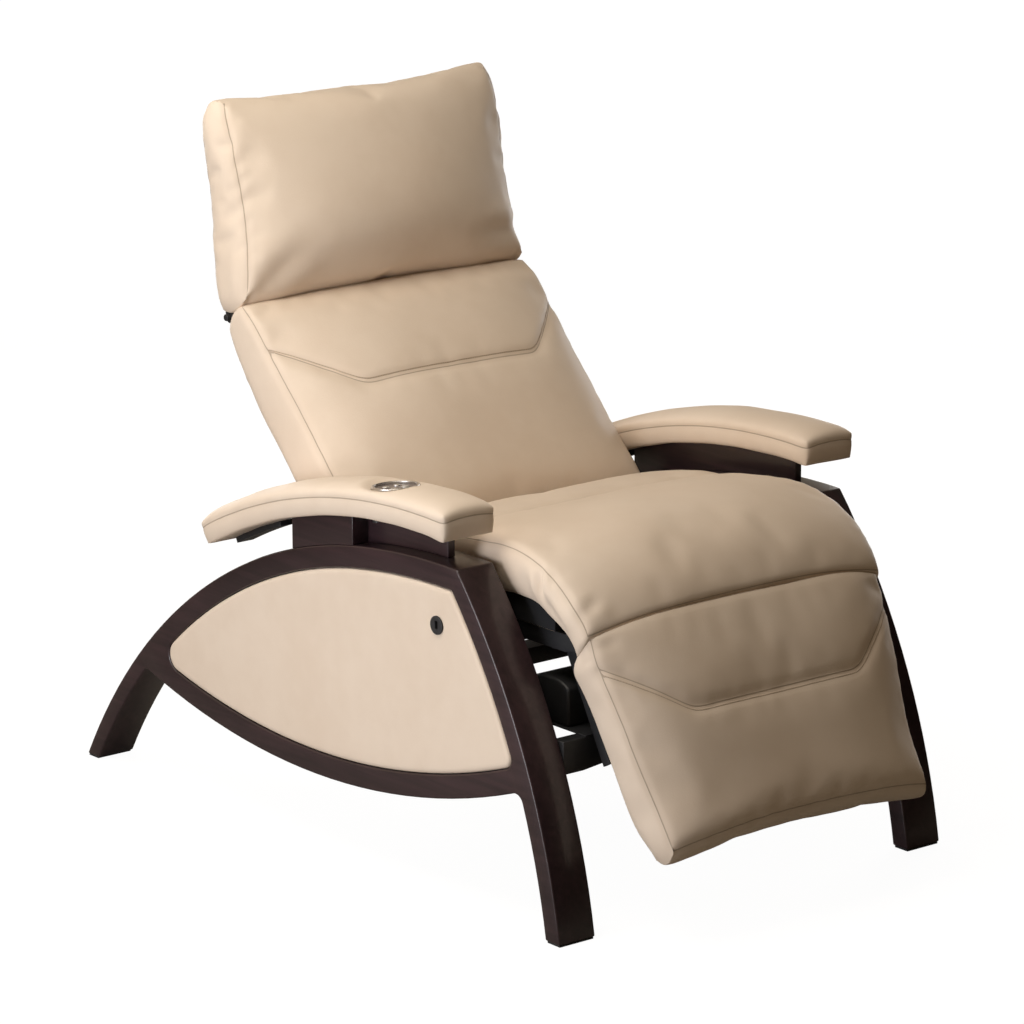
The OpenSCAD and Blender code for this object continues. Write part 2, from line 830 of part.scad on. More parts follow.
// fold = [knot of the stitched line, u where it turns, how many knots it climbs at the side]
function fold_shift(u, v, t, last, fold) =
  fold[2] == 0 ? 0
  : let (side = max(abs(u) - fold[1], 0) / (1 - fold[1]))
    let (fade = t < fold[0] ? t / fold[0] : (last - t) / (last - fold[0]))
    fold[2] * side * fade * max(v, 0);

function cushion_point(knots, t, p, fold, seams, sag, bulge) =
  let (last = len(knots) - 1, u = p[0], v = p[1])
  let (bend = fold_shift(u, v, t, last, fold) - sag * (1 - u * u) * pow(t / last, 6))
  let (k = spline(knots, t + bend))
  let (top = [k[0], k[1]], low = [k[2], k[3]], out = (top - low) / norm(top - low))
  let (groove = len(seams) == 0 ? 0 : max([for (s = seams) s[1] * exp(-pow((t - s[0]) / s[2], 2))]))
  let (crown = v == 1 ? k[5] * (1 - pow(abs(u), 4)) - groove * (1 - pow(abs(u), 20)) : 0)
  let (place = v < 0 ? low + k[6] * out : low + v * (top - low) + crown * out)
  let (low_half = len(k) > 7 ? k[7] : k[4])
  let (x = u * (low_half + max(v, 0) * (k[4] - low_half) + (v > 0 && v < 1 ? bulge : 0)))
  [x, place[0], place[1]];

// A closed cushion through its knots; seams = [knot, depth, half width in knots]
module cushion(knots, steps, fold = [1, 1, 0], seams = [], sag = 0, bulge = 3) {
  rows = (len(knots) - 1) * steps;
  count = len(ring);
  skin = [
    for (row = [0:rows])
      for (p = ring) cushion_point(knots, row / steps, p, fold, seams, sag, bulge)
  ];
  first = knots[0];
  last = knots[len(knots) - 1];
  caps = [
    [0, (first[0] + first[2]) / 2, (first[1] + first[3]) / 2],
    [0, (last[0] + last[2]) / 2, (last[1] + last[3]) / 2]
  ];
  sides = [
    for (row = [0:rows - 1])
      for (j = [0:count - 1])
        let (a = row * count + j, b = row * count + (j + 1) % count)
        each [[a, b, b + count], [a, b + count, a + count]]
  ];
  ends = [
    for (j = [0:count - 1])
      let (k = (j + 1) % count, tail = rows * count)
      each [[j, len(skin), k], [tail + k, len(skin) + 1, tail + j]]
  ];
  polyhedron(points = concat(skin, caps), faces = concat(sides, ends), convexity = 6);
}

half_cushion = cushion_width / 2;
seat_knots = [
  // side seam y, z, underside y, z, half width, crown, pocket
  [305, 447, 287, 408, half_cushion - 6, 5, 0],
  [258, 460, 250, 406, half_cushion, 10, 0],
  [206, 471, 204, 406, half_cushion, 11, 0],
  [155, 480, 152, 408, half_cushion, 6, 0],
  [104, 486, 98, 414, half_cushion, 12, 0],
  [54, 491, 44, 422, half_cushion + 2, 15, 0],
  [4, 495, -8, 427, half_cushion + 4, 18, 0],
  [-40, 491, -46, 427, half_cushion + 6, 0.65 * seat_crown, 0],
  [-80, 479, -78, 421, half_cushion + 6, 0.82 * seat_crown, 0],
  [-116, 458, -103, 409, half_cushion + 6, seat_crown, 0],
  [-143, 435, -122, 395, half_cushion + 5, 0.95 * seat_crown, 0],
  [-160, 415, -132, 384, half_cushion + 1, 0.9 * seat_crown, 0]
];

// Room for the leg pivot and its rail inside the seat and leg cushions
pocket_radius = leg_boss + 3;
pocket_corner = 0.42 * pocket_radius;
module pivot_pocket(spread) {
  both_sides() translate([rail_inner_face - 12, leg_pivot[0], leg_pivot[1]]) rotate([spread, 0, 0])
    rotate([90, 0, 90]) linear_extrude(rail_plate + 16) polygon([
      [-pocket_radius, -pocket_corner], [-pocket_corner, -pocket_radius], [90, -pocket_radius],
      [90, pocket_radius], [-pocket_corner, pocket_radius], [-pocket_radius, pocket_corner]
    ]);
}

module seat_cushion() {
  color(leather) seated() difference() {
    cushion(seat_knots, 3, seams = [[3, 3, 0.3]]);
    pivot_pocket(-8);
  }
}

skirt_half = pan_half + 3;
skirt_wall = 2;
skirt_under = [
  for (i = [len(seat_knots) - 1:-1:0]) if (seat_knots[i][2] > -50 && seat_knots[i][2] < 210)
    [seat_knots[i][2], seat_knots[i][3] - 1.6]
];
module skirt_outline(inset) {
  polygon(concat(
    [[pan_front - 4 + inset, pan_bottom + 1.5], [pan_front - 4 + inset, 417]], skirt_under,
    [[pan_rear - 8, 404.4], [pan_rear + 2 - inset, pan_bottom + 1.5]]
  ));
}
module dust_cover() {
  color(black) seated() difference() {
    upright(-skirt_half, 2 * skirt_half) skirt_outline(0);
    translate([-skirt_half + skirt_wall, pan_front - 2, 300])
      cube([2 * skirt_half - 2 * skirt_wall, pan_rear - pan_front + 2, 300]);
  }
}
module seat_lining() {
  color(black) seated() translate([-rail_inner_face + 8, pan_front + 4, rail_top - 1.8])
    cube([2 * rail_inner_face - 16, pan_rear - pan_front - 8, 1.5]);
}

// ---------- back ----------

module back_pins() {
  color(steel) seated() both_sides()
    across(back_plate_x - 1.5, rail_outer - back_plate_x + 2.5, pivot_pin, back_pivot);
}

cushion_base = -6;
back_plate = 6;
back_plate_x = rail_inner_face - back_plate - 2;
bar_top = cushion_base - 0.3;
bar_bottom = -38;
hinge_boss = 9;
cross_bar = 20;
module back_plate_outline() {
  difference() {
    union() {
      polygon([
        [-12, 0], [0, bar_bottom], [350, bar_bottom], [back_length + 8, bar_bottom + 13],
        [headrest_pivot_along, headrest_pivot_height], [headrest_pivot_along, -14],
        [back_length - 20, bar_top], [12, bar_top]
      ]);
      circle(15);
      translate([headrest_pivot_along, headrest_pivot_height]) circle(hinge_boss);
    }
    circle(pivot_pin + bore_clearance);
    translate([headrest_pivot_along, headrest_pivot_height]) circle(5 + bore_clearance);
  }
}
module back_frame() {
  color(steel) seated() at_back() {
    both_sides() upright(back_plate_x, back_plate) back_plate_outline();
    translate([-back_plate_x, track_start - cross_bar, bar_bottom]) cube([2 * back_plate_x, cross_bar, 24]);
    translate([-back_plate_x, track_end, -28]) cube([2 * back_plate_x, cross_bar, 14]);
  }
}

pocket_height = 34;
back_knots = [
  [24, back_front - 8, 24, cushion_base, half_cushion - 8, 12, 0],
  [60, back_front, 54, cushion_base, half_cushion - 2, 0.5 * back_crown, 0],
  [110, back_front, 110, cushion_base, half_cushion - 3, 0.72 * back_crown, pocket_height],
  [162, back_front, 162, cushion_base, half_cushion - 4, 0.88 * back_crown, pocket_height],
  [214, back_front, 214, cushion_base, half_cushion - 4, back_crown, pocket_height],
  [266, back_front, 266, cushion_base, half_cushion - 4, 0.98 * back_crown, pocket_height],
  [318, back_front, 318, cushion_base, half_cushion - 3, 0.9 * back_crown, pocket_height],
  [370, back_front, 370, cushion_base, half_cushion - 2, 0.72 * back_crown, pocket_height],
  [412, back_front, 408, cushion_base, half_cushion - 1, 0.45 * back_crown, 0],
  [back_length, back_front - 10, back_length - 3, cushion_base, half_cushion - 4, 5, 0]
];
module back_cushion() {
  color(leather) seated() at_back()
    cushion(back_knots, 4, fold = [5, 0.6, 1.9], seams = [[5, 4, 0.16]]);
}

cover_start = 22;
module cover_outline(wall) {
  taper = back_rear - 21;
  polygon([
    [cover_start + wall, 0], [cover_start + wall, -back_rear + 8], [cover_start + 8 + wall / 2, -back_rear + wall],
    [310, -back_rear + wall], [back_length - wall, -taper + wall], [back_length - wall, 0]
  ]);
}
module back_cover() {
  color(leather) seated() at_back() difference() {
    intersection() {
      upright(-half_cushion, cushion_width) cover_outline(0);
      translate([-half_cushion, 0, -far]) cube([cushion_width, far, far + cushion_base - 0.3]);
    }
    upright(-half_cushion + cover_wall, cushion_width - 2 * cover_wall) cover_outline(cover_wall);
    // slots that the frame's side plates pass through
    both_sides() translate([back_plate_x - 1, 0, bar_bottom - 1])
      cube([back_plate + 2, 40, far]);
    both_sides() translate([back_plate_x - 1, back_length - 24, bar_bottom - 1])
      cube([back_plate + 2, 40, far]);
  }
}

track_start = 66;
track_end = back_length - 36;
rod_x = 68;
rod_z = -21;
rod_radius = rod_diameter / 2;
screw_radius = 5;
track_plate = 6;
collar = 4;
module roller_track() {
  color(steel) seated() at_back() {
    for (y = [track_start, track_end - track_plate])
      difference() {
        translate([-rod_x - 18, y, bar_bottom + 8]) cube([2 * rod_x + 36, track_plate, 22]);
        for (x = [-rod_x, rod_x])
          translate([x, y - 1, rod_z]) rotate([-90, 0, 0]) cylinder(h = 8, r = rod_radius + bore_clearance);
        translate([0, y - 1, rod_z]) rotate([-90, 0, 0]) cylinder(h = 8, r = screw_radius + bore_clearance);
      }
    for (x = [-rod_x, rod_x])
      translate([x, track_start, rod_z]) rotate([-90, 0, 0])
        cylinder(h = track_end - track_start, r = rod_radius);
  }
}
module lift_screw() {
  color([0.7, 0.7, 0.72]) seated() at_back() {
    translate([0, track_start + 0.2, rod_z]) rotate([-90, 0, 0])
      cylinder(h = track_end - track_start - 0.4, r = screw_radius);
    for (y = [track_start + track_plate, track_end - track_plate - collar])
      translate([0, y, rod_z]) rotate([-90, 0, 0]) cylinder(h = collar, r = 8);
  }
}

carriage_start = 100;
carriage_length = 46;
shaft_along = carriage_start + carriage_length / 2;
shaft_height = -1;
roller_radius = roller_diameter / 2;
module roller_carriage() {
  color(black) seated() at_back() difference() {
    union() {
      for (side = [-1, 1])
        translate([side * rod_x - 14, carriage_start, -34]) cube([28, carriage_length, 41]);
      translate([-rod_x, carriage_start, -34]) cube([2 * rod_x, carriage_length, 5]);
      translate([-9, carriage_start, -34]) cube([18, carriage_length, 22]);
    }
    for (x = [-rod_x, rod_x])
      translate([x, 0, rod_z]) rotate([-90, 0, 0]) cylinder(h = far, r = rod_radius + bore_clearance);
    translate([0, 0, rod_z]) rotate([-90, 0, 0]) cylinder(h = far, r = screw_radius + bore_clearance);
    translate([-100, shaft_along, shaft_height]) rotate([0, 90, 0]) cylinder(h = 200, r = 5 + bore_clearance);
  }
}
module kneading_rollers() {
  color([0.30, 0.30, 0.32]) seated() at_back() {
    translate([-rod_x - 16, shaft_along, shaft_height]) rotate([0, 90, 0]) cylinder(h = 2 * rod_x + 32, r = 5);
    for (x = [-48, -26, 15, 37])
      translate([x, shaft_along, shaft_height]) rotate([0, 90, 0]) cylinder(h = 11, r = roller_radius);
  }
}

// ---------- headrest ----------

pillow_half = pillow_width / 2;
pillow_knots = [
  [603, 732, 664, 700, pillow_half + 13, 6, 0, pillow_half + 10],
  [606, 756, 677, 722, pillow_half + 5, 0.55 * pillow_crown, 0, pillow_half + 13],
  [611, 786, 682, 764, pillow_half + 1, 0.85 * pillow_crown, 0, pillow_half + 13],
  [619, 824, 687, 806, pillow_half, pillow_crown, 0, pillow_half + 13],
  [628, 862, 692, 850, pillow_half - 1, pillow_crown, 0, pillow_half + 13],
  [636, 900, 698, 894, pillow_half - 1, 0.9 * pillow_crown, 0, pillow_half + 13],
  [646, 936, 705, 934, pillow_half, 0.75 * pillow_crown, 0, pillow_half + 13],
  [657, 970, 711, 968, pillow_half + 1, 0.5 * pillow_crown, 0, pillow_half + 11],
  [672, 998, 703, 993, pillow_half - 8, 6, 0, pillow_half + 4]
];
hinge_at = back_pivot + polar(headrest_pivot_along, back_angle) + polar(headrest_pivot_height, back_angle + 90);
leaf_plate = 5;
leaf_x = back_plate_x + back_plate + 1;
leaf_lean = 84;
frame_rise = 190;
module headrest_frame() {
  color(steel) seated() {
    both_sides() {
      upright(leaf_x, leaf_plate) difference() {
        union() {
          translate(hinge_at) circle(9);
          translate(hinge_at) rotate(leaf_lean) translate([0, -9]) square([frame_rise, 12]);
        }
        translate(hinge_at) circle(5);
      }
      across(back_plate_x - 1, leaf_x + leaf_plate + 8 - back_plate_x, 5, hinge_at);
    }
    translate([-leaf_x, hinge_at[0], hinge_at[1]]) rotate([leaf_lean, 0, 0])
      translate([0, 16, 0]) cube([2 * leaf_x, frame_rise - 16, 3]);
  }
}
module headrest_pillow() {
  color(leather) seated() difference() {
    cushion(pillow_knots, 3, sag = 0.28, bulge = 5);
    translate([-leaf_x - leaf_plate - 1, hinge_at[0], hinge_at[1]]) rotate([leaf_lean, 0, 0])
      translate([0, -40, -10]) cube([2 * (leaf_x + leaf_plate + 1), frame_rise + 41, 14]);
  }
}

// ---------- leg rest ----------

leg_depth = 16;
leg_underside = -40;
leg_knots = [
  [4, leg_depth - 2, 6, leg_underside + 4, half_cushion - 4, 0.85 * leg_crown, 0, half_cushion - 6],
  [34, leg_depth + 1, 34, leg_underside, half_cushion - 3, 0.95 * leg_crown, 0, half_cushion - 4],
  [78, leg_depth + 1, 78, leg_underside, half_cushion - 9, leg_crown, 0, half_cushion - 7],
  [122, leg_depth, 122, leg_underside, half_cushion - 14, leg_crown, 0, half_cushion - 11],
  [166, leg_depth - 2, 166, leg_underside, half_cushion - 19, leg_crown, 0, half_cushion - 15],
  [210, leg_depth - 3, 208, leg_underside, half_cushion - 25, 0.95 * leg_crown, 0, half_cushion - 18],
  [250, leg_depth - 2, 246, leg_underside, half_cushion - 28, 0.88 * leg_crown, 0, half_cushion - 21],
  [282, leg_depth, 272, leg_underside + 6, half_cushion - 29, 0.8 * leg_crown, 0, half_cushion - 24],
  [leg_end[0], leg_end[1], leg_end_low[0], leg_end_low[1], half_cushion - 31, leg_end_crown, 0, half_cushion - 28]
];
leg_board_gap = 0.8;
leg_board_back = leg_underside - leg_board_thickness - leg_board_gap;
leg_board_end = 256;
leg_board_taper = 16;
module leg_cushion() {
  color(leather) seated() difference() {
    at_leg() cushion(leg_knots, 4, fold = [3, 0.6, -1.9], seams = [[3, 4, 0.18]]);
    pivot_pocket(-48);
  }
}
module leg_board() {
  half = leg_arm_x - 0.2;
  color([0.20, 0.18, 0.17]) seated() at_leg() translate([0, 0, leg_board_back])
    linear_extrude(leg_board_thickness) polygon([
      [-half, 16], [half, 16], [half - leg_board_taper, leg_board_end], [leg_board_taper - half, leg_board_end]
    ]);
}

leg_arm = 5;
leg_arm_x = rail_inner_face - leg_arm - 1.5;
module leg_arms() {
  color(steel) seated() at_leg() both_sides() upright(leg_arm_x, leg_arm) difference() {
    union() {
      circle(leg_boss);
      polygon([
        [-leg_boss, 0], [leg_boss, 0], [14, leg_underside - leg_board_thickness],
        [-6, leg_underside - leg_board_thickness]
      ]);
      translate([-2, leg_underside - leg_board_thickness - 8]) square([160, leg_board_thickness + 6]);
    }
    circle(pivot_pin + bore_clearance);
  }
}
module leg_pins() {
  color(steel) seated() both_sides()
    across(leg_arm_x - 1.5, rail_outer - leg_arm_x + 2.5, pivot_pin, leg_pivot);
}
module calf_vibrator() {
  color(black) seated() at_leg() translate([0, 170, leg_board_back - vibrator_height])
    cylinder(h = vibrator_height, r = 24);
}

side_frame_right();
side_frame_left();
side_panel_right();
side_panel_left();
panel_board_right();
panel_board_left();
foot_glides();
front_stretcher();
rear_stretcher();
arm_rail_right();
arm_rail_left();
arm_block_right();
arm_block_left();
arm_pad_right();
arm_pad_left();
arm_straps();
arm_brackets();
pivot_brackets();
pivot_pins();
frame_screws();
panel_socket();
socket_core();
keypad_cup();
keypad_board();
keypad_plate();
keypad_rim();
button_front_outer();
button_front_inner();
button_rear_outer();
button_rear_inner();
control_tray();
control_box();
power_supply();
power_inlet();
actuator_clevis();
actuator_body();
actuator_rod();
rod_pin();
seat_frame();
seat_pan();
seat_straps();
seat_cushion();
dust_cover();
seat_lining();
seat_vibrator();
back_pins();
back_frame();
back_cushion();
back_cover();
roller_track();
lift_screw();
roller_carriage();
kneading_rollers();
headrest_frame();
headrest_pillow();
leg_pins();
leg_arms();
leg_board();
leg_cushion();
calf_vibrator();
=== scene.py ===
import json
import math

import bmesh
import bpy
import numpy as np
from mathutils import Matrix, Vector, geometry, kdtree, noise

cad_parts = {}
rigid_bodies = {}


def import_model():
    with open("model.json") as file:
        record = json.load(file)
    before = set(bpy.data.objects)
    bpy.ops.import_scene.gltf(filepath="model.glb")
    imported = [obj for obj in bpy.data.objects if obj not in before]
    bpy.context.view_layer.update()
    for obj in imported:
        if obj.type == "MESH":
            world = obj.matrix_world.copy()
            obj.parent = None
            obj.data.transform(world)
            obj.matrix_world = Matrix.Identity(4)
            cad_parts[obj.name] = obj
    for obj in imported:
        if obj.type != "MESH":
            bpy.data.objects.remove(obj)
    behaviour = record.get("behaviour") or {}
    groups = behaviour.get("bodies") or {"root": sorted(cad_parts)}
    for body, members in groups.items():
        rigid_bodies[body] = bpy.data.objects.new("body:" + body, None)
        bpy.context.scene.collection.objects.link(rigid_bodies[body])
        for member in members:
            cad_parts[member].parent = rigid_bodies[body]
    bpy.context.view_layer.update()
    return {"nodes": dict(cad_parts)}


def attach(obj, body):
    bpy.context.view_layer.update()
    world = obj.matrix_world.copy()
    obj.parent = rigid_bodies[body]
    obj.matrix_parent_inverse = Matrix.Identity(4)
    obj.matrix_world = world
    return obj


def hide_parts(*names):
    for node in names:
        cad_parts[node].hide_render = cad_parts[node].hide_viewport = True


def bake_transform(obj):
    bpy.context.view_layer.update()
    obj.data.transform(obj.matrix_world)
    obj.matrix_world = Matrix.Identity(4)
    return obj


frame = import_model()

nodes = frame["nodes"]

# ---- Studio: camera, floor, lamps and surroundings --------------------------
# The chair stands alone on a pale studio floor. Five broad lamps stand round it over
# a dim warm fill; gloss mirrors a grey surround, and the camera sees plain white.

PLAN_MIDDLE = 280.79560755747275


def place(x, y, z):
    """A point in millimetres, as the chair's drawing counts them, in the frame's metres."""
    return Vector((x / 1000, (y - PLAN_MIDDLE) / 1000, z / 1000))


def put(name, data):
    """A new object of that data, in the scene."""
    made = bpy.data.objects.new(name, data)
    bpy.context.scene.collection.objects.link(made)
    return made


LENS, FILM, FARTHEST = 177.61, 36, 60
DRAWING_FROM_CAMERA = Vector((200.87, -479.58, -7028.1))
turn, tilt, roll = (math.radians(angle) for angle in (-38.883, 14.715, 0.145))
sight_right = Vector((math.cos(turn), math.sin(turn), 0))
sight_back = Vector((math.sin(turn) * math.cos(tilt), -math.cos(turn) * math.cos(tilt), math.sin(tilt)))
aim = Matrix((sight_right, sight_back.cross(sight_right), sight_back)).transposed()
aim = aim @ Matrix.Rotation(-roll, 3, "Z")
camera_data = bpy.data.cameras.new("studio_camera")
camera_data.lens, camera_data.sensor_width, camera_data.clip_end = LENS, FILM, FARTHEST
camera = put("studio_camera", camera_data)
camera.matrix_world = Matrix.Translation(place(*(aim @ -DRAWING_FROM_CAMERA))) @ aim.to_4x4()
bpy.context.scene.camera = camera
bpy.context.scene.view_settings.view_transform = "Standard"


class Wire:
    """One socket of a node tree. Sums, products and the like add the Math nodes for them."""

    def __init__(self, tree, socket=None):
        self.tree, self.socket = tree, socket

    def node(self, kind, settings=None, sockets=None, out=0):
        """Adds any node: its settings first, then values or wires for its sockets."""
        made = self.tree.nodes.new(kind)
        for name, value in (settings or {}).items():
            setattr(made, name, value)
        for key, value in (sockets or {}).items():
            if isinstance(value, Wire):
                self.tree.links.new(value.socket, made.inputs[key])
            else:
                made.inputs[key].default_value = value
        return Wire(self.tree, made.outputs[out])

    def maths(self, operation, *values, clamp=False):
        settings = {"operation": operation, "use_clamp": clamp}
        return self.node("ShaderNodeMath", settings, dict(enumerate(values)))

    def coords(self):
        """Object coordinates, in metres."""
        return self.node("ShaderNodeTexCoord", out=3)

    def xyz(self):
        """The three numbers of a vector."""
        return [self.node("ShaderNodeSeparateXYZ", None, {0: self}, out=axis) for axis in range(3)]

    def mottle(self, **sockets):
        """Cloudy noise with those sockets, in this wire's tree."""
        return self.node("ShaderNodeTexNoise", None, sockets)

    def relief(self, strength, distance, height):
        return self.node("ShaderNodeBump", None, {"Strength": strength, "Distance": distance, "Height": height})

    def __add__(self, other):
        return self.maths("ADD", self, other)

    def __radd__(self, other):
        return self.maths("ADD", other, self)

    def __sub__(self, other):
        return self.maths("SUBTRACT", self, other)

    def __rsub__(self, other):
        return self.maths("SUBTRACT", other, self)

    def __mul__(self, other):
        return self.maths("MULTIPLY", self, other)

    def __rmul__(self, other):
        return self.maths("MULTIPLY", other, self)

    def __pow__(self, other):
        return self.maths("POWER", self, other)

    def clamped(self):
        return self.maths("ADD", self, 0.0, clamp=True)

    def between(self, low, high):
        """0 at low and below, 1 at high and above, with a soft step in the middle."""
        return self.node("ShaderNodeMapRange", {"interpolation_type": "SMOOTHSTEP"},
                         {"Value": self, "From Min": low, "From Max": high})

    def blend_colours(self, at_zero, at_one):
        return self.node("ShaderNodeMix", {"data_type": "RGBA"}, {0: self, 6: at_zero, 7: at_one}, out=2)

    def into(self, node, socket):
        self.tree.links.new(self.socket, node.inputs[socket])


def finish(name, **constants):
    """A new material, its Principled shader with those constant sockets, and a first wire."""
    material = bpy.data.materials.new(name)
    material.use_nodes = True
    shader = material.node_tree.nodes["Principled BSDF"]
    for socket, value in constants.items():
        shader.inputs[socket.replace("_", " ")].default_value = value
    return material, shader, Wire(material.node_tree)


FILL_LIGHT, FILL_WARMTH = 0.12, (1.0, 0.78, 0.54, 1)
GLOSS_MIDDLE, GLOSS_RIGHT, GLOSS_REAR, GLOSS_TOP = 0.22, 0.26, 0.20, 0.20
WHITE = (1, 1, 1, 1)
world = bpy.data.worlds.new("white_studio")
bpy.context.scene.world = world
world.use_nodes = True
wire = Wire(world.node_tree)
across, along, up = wire.node("ShaderNodeTexCoord").xyz()
glossy_glow = (GLOSS_MIDDLE - across * GLOSS_RIGHT + along * GLOSS_REAR + up * GLOSS_TOP).clamped()
is_glossy = wire.node("ShaderNodeLightPath", out="Is Glossy Ray")
strength = FILL_LIGHT + is_glossy * (glossy_glow - FILL_LIGHT)
sky = wire.tree.nodes["Background"]
sky.inputs["Color"].default_value = FILL_WARMTH
strength.into(sky, "Strength")
surround = Wire(wire.tree, sky.outputs[0])
backdrop = wire.node("ShaderNodeBackground", None, {"Color": WHITE, "Strength": 1.0})
is_camera = wire.node("ShaderNodeLightPath", out="Is Camera Ray")
shown = wire.node("ShaderNodeMixShader", None, {0: is_camera, 1: surround, 2: backdrop})
shown.into(wire.tree.nodes["World Output"], "Surface")

FLOOR_HALF, FLOOR_GLOW, FLOOR_WHITE, WHITER_AWAY = 14.0, 1.55, 0.62, 0.04
floor_mesh = bpy.data.meshes.new("studio_floor")
floor_mesh.from_pydata([(x * FLOOR_HALF, y * FLOOR_HALF, 0) for x, y in ((-1, -1), (1, -1), (1, 1), (-1, 1))],
                       [], [(0, 1, 2, 3)])
floor = put("studio_floor", floor_mesh)
floor_material, floor_shader, wire = finish("studio_floor", Roughness=0.9, Base_Color=(0.24, 0.215, 0.18, 1))
from_chair = wire.node("ShaderNodeVectorMath", {"operation": "LENGTH"}, {0: wire.coords()}, out=1)
whitened = FLOOR_WHITE + from_chair.between(1.0, 6.0) * WHITER_AWAY
is_camera = wire.node("ShaderNodeLightPath", out="Is Camera Ray")
glow = wire.node("ShaderNodeEmission", None, {"Color": WHITE, "Strength": FLOOR_GLOW})
matt = Wire(wire.tree, floor_shader.outputs[0])
shown = wire.node("ShaderNodeMixShader", None, {0: is_camera * whitened, 1: matt, 2: glow})
shown.into(wire.tree.nodes["Material Output"], "Surface")
floor_mesh.materials.append(floor_material)

LAMPS_AIM = Vector((0, 0, 0.45))
LAMPS = (
    ("key_lamp", (-0.9, -0.2, 2.2), 1.0, 23.0, (1.0, 0.95, 0.86)),
    ("side_lamp", (-2.4, -0.2, 0.6), 1.2, 31.0, (0.97, 1.0, 1.07)),
    ("top_lamp", (-1.2, 0.9, 2.2), 1.0, 7.0, (1.0, 1.0, 1.0)),
    ("left_lamp", (2.8, 1.0, 0.5), 1.6, 34.0, (1.0, 1.0, 1.0)),
    ("rear_lamp", (0.6, 3.0, 0.6), 1.6, 30.0, (1.0, 1.0, 1.0)),
)
for name, spot, size, power, tint in LAMPS:
    lamp_data = bpy.data.lights.new(name, "AREA")
    lamp_data.size, lamp_data.energy, lamp_data.color = size, power, tint
    lamp = put(name, lamp_data)
    lamp.location = spot
    lamp.rotation_euler = (LAMPS_AIM - Vector(spot)).to_track_quat("-Z", "Y").to_euler()

# ---- Side frames, arm rails and arm blocks: dark stained wood ---------------
# Each side is one arch of laminated hardwood with its front leg and lower rail in
# the same plane, espresso stain under satin lacquer, its edges eased with a router.

EASED_EDGE, EASED_BOARD = 0.0024, 0.0012
SAME_POINT, SAME_FACE, SHARP_CORNER = 2e-6, math.radians(0.4), math.radians(32)


def dress(piece, material):
    piece.data.materials.clear()
    piece.data.materials.append(material)


def smooth_by_angle(mesh, degrees=40):
    mesh.polygons.foreach_set("use_smooth", [True] * len(mesh.polygons))
    mesh.set_sharp_from_angle(angle=math.radians(degrees))


def eased(name, radius, steps=3):
    """A CAD node's shape again, with its sharp edges rounded, standing for the node."""
    work = bmesh.new()
    work.from_mesh(nodes[name].data)
    bmesh.ops.remove_doubles(work, verts=work.verts, dist=SAME_POINT)
    bmesh.ops.dissolve_limit(work, angle_limit=SAME_FACE, verts=work.verts, edges=work.edges)
    bmesh.ops.dissolve_degenerate(work, dist=SAME_POINT, edges=work.edges)
    edges = [edge for edge in work.edges
             if len(edge.link_faces) == 2 and edge.calc_face_angle() > SHARP_CORNER]
    bmesh.ops.bevel(work, geom=edges, offset=radius, segments=steps, profile=0.5,
                    affect="EDGES", clamp_overlap=True, loop_slide=True)
    bmesh.ops.triangulate(work, faces=[face for face in work.faces if len(face.verts) > 4])
    mesh = bpy.data.meshes.new(name + "_eased")
    work.to_mesh(mesh)
    work.free()
    piece = put(name + "_eased", mesh)
    smooth_by_angle(mesh)
    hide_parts(name)
    return piece


def wood(name, axis):
    """Espresso stain: dark red-brown with faint streaks along one axis, satin lacquer."""
    material, shader, wire = finish(name, Coat_Roughness=0.16, Specular_IOR_Level=0.42)
    coords = wire.coords()
    stretch = [34.0, 34.0, 34.0]
    stretch[axis] = 1.6
    grain_at = wire.node("ShaderNodeMapping", None, {"Vector": coords, "Scale": stretch})
    streaks = wire.mottle(Vector=grain_at, Scale=2.4, Detail=6.0, Roughness=0.62, Distortion=0.6)
    pores = wire.mottle(Vector=grain_at, Scale=16.0, Detail=3.0)
    clouds = wire.mottle(Vector=coords, Scale=5.0, Detail=2.0)
    tone = (streaks * 0.7 + clouds * 0.5 - 0.25).between(0.15, 0.65)
    tone.blend_colours((0.016, 0.0078, 0.0098, 1), (0.042, 0.0195, 0.0235, 1)).into(shader, "Base Color")
    (0.30 + clouds * 0.16).into(shader, "Roughness")
    (0.35 + streaks * 0.3).into(shader, "Coat Weight")
    wire.relief(0.12, 0.0004, pores * 0.5 + streaks).into(shader, "Normal")
    return material


arch_wood = wood("espresso_wood_along", 1)
for side in ("right", "left"):
    for part in ("side_frame_", "arm_rail_", "arm_block_"):
        piece = eased(part + side, EASED_EDGE if part == "side_frame_" else EASED_BOARD)
        dress(piece, arch_wood)
        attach(piece, "base")
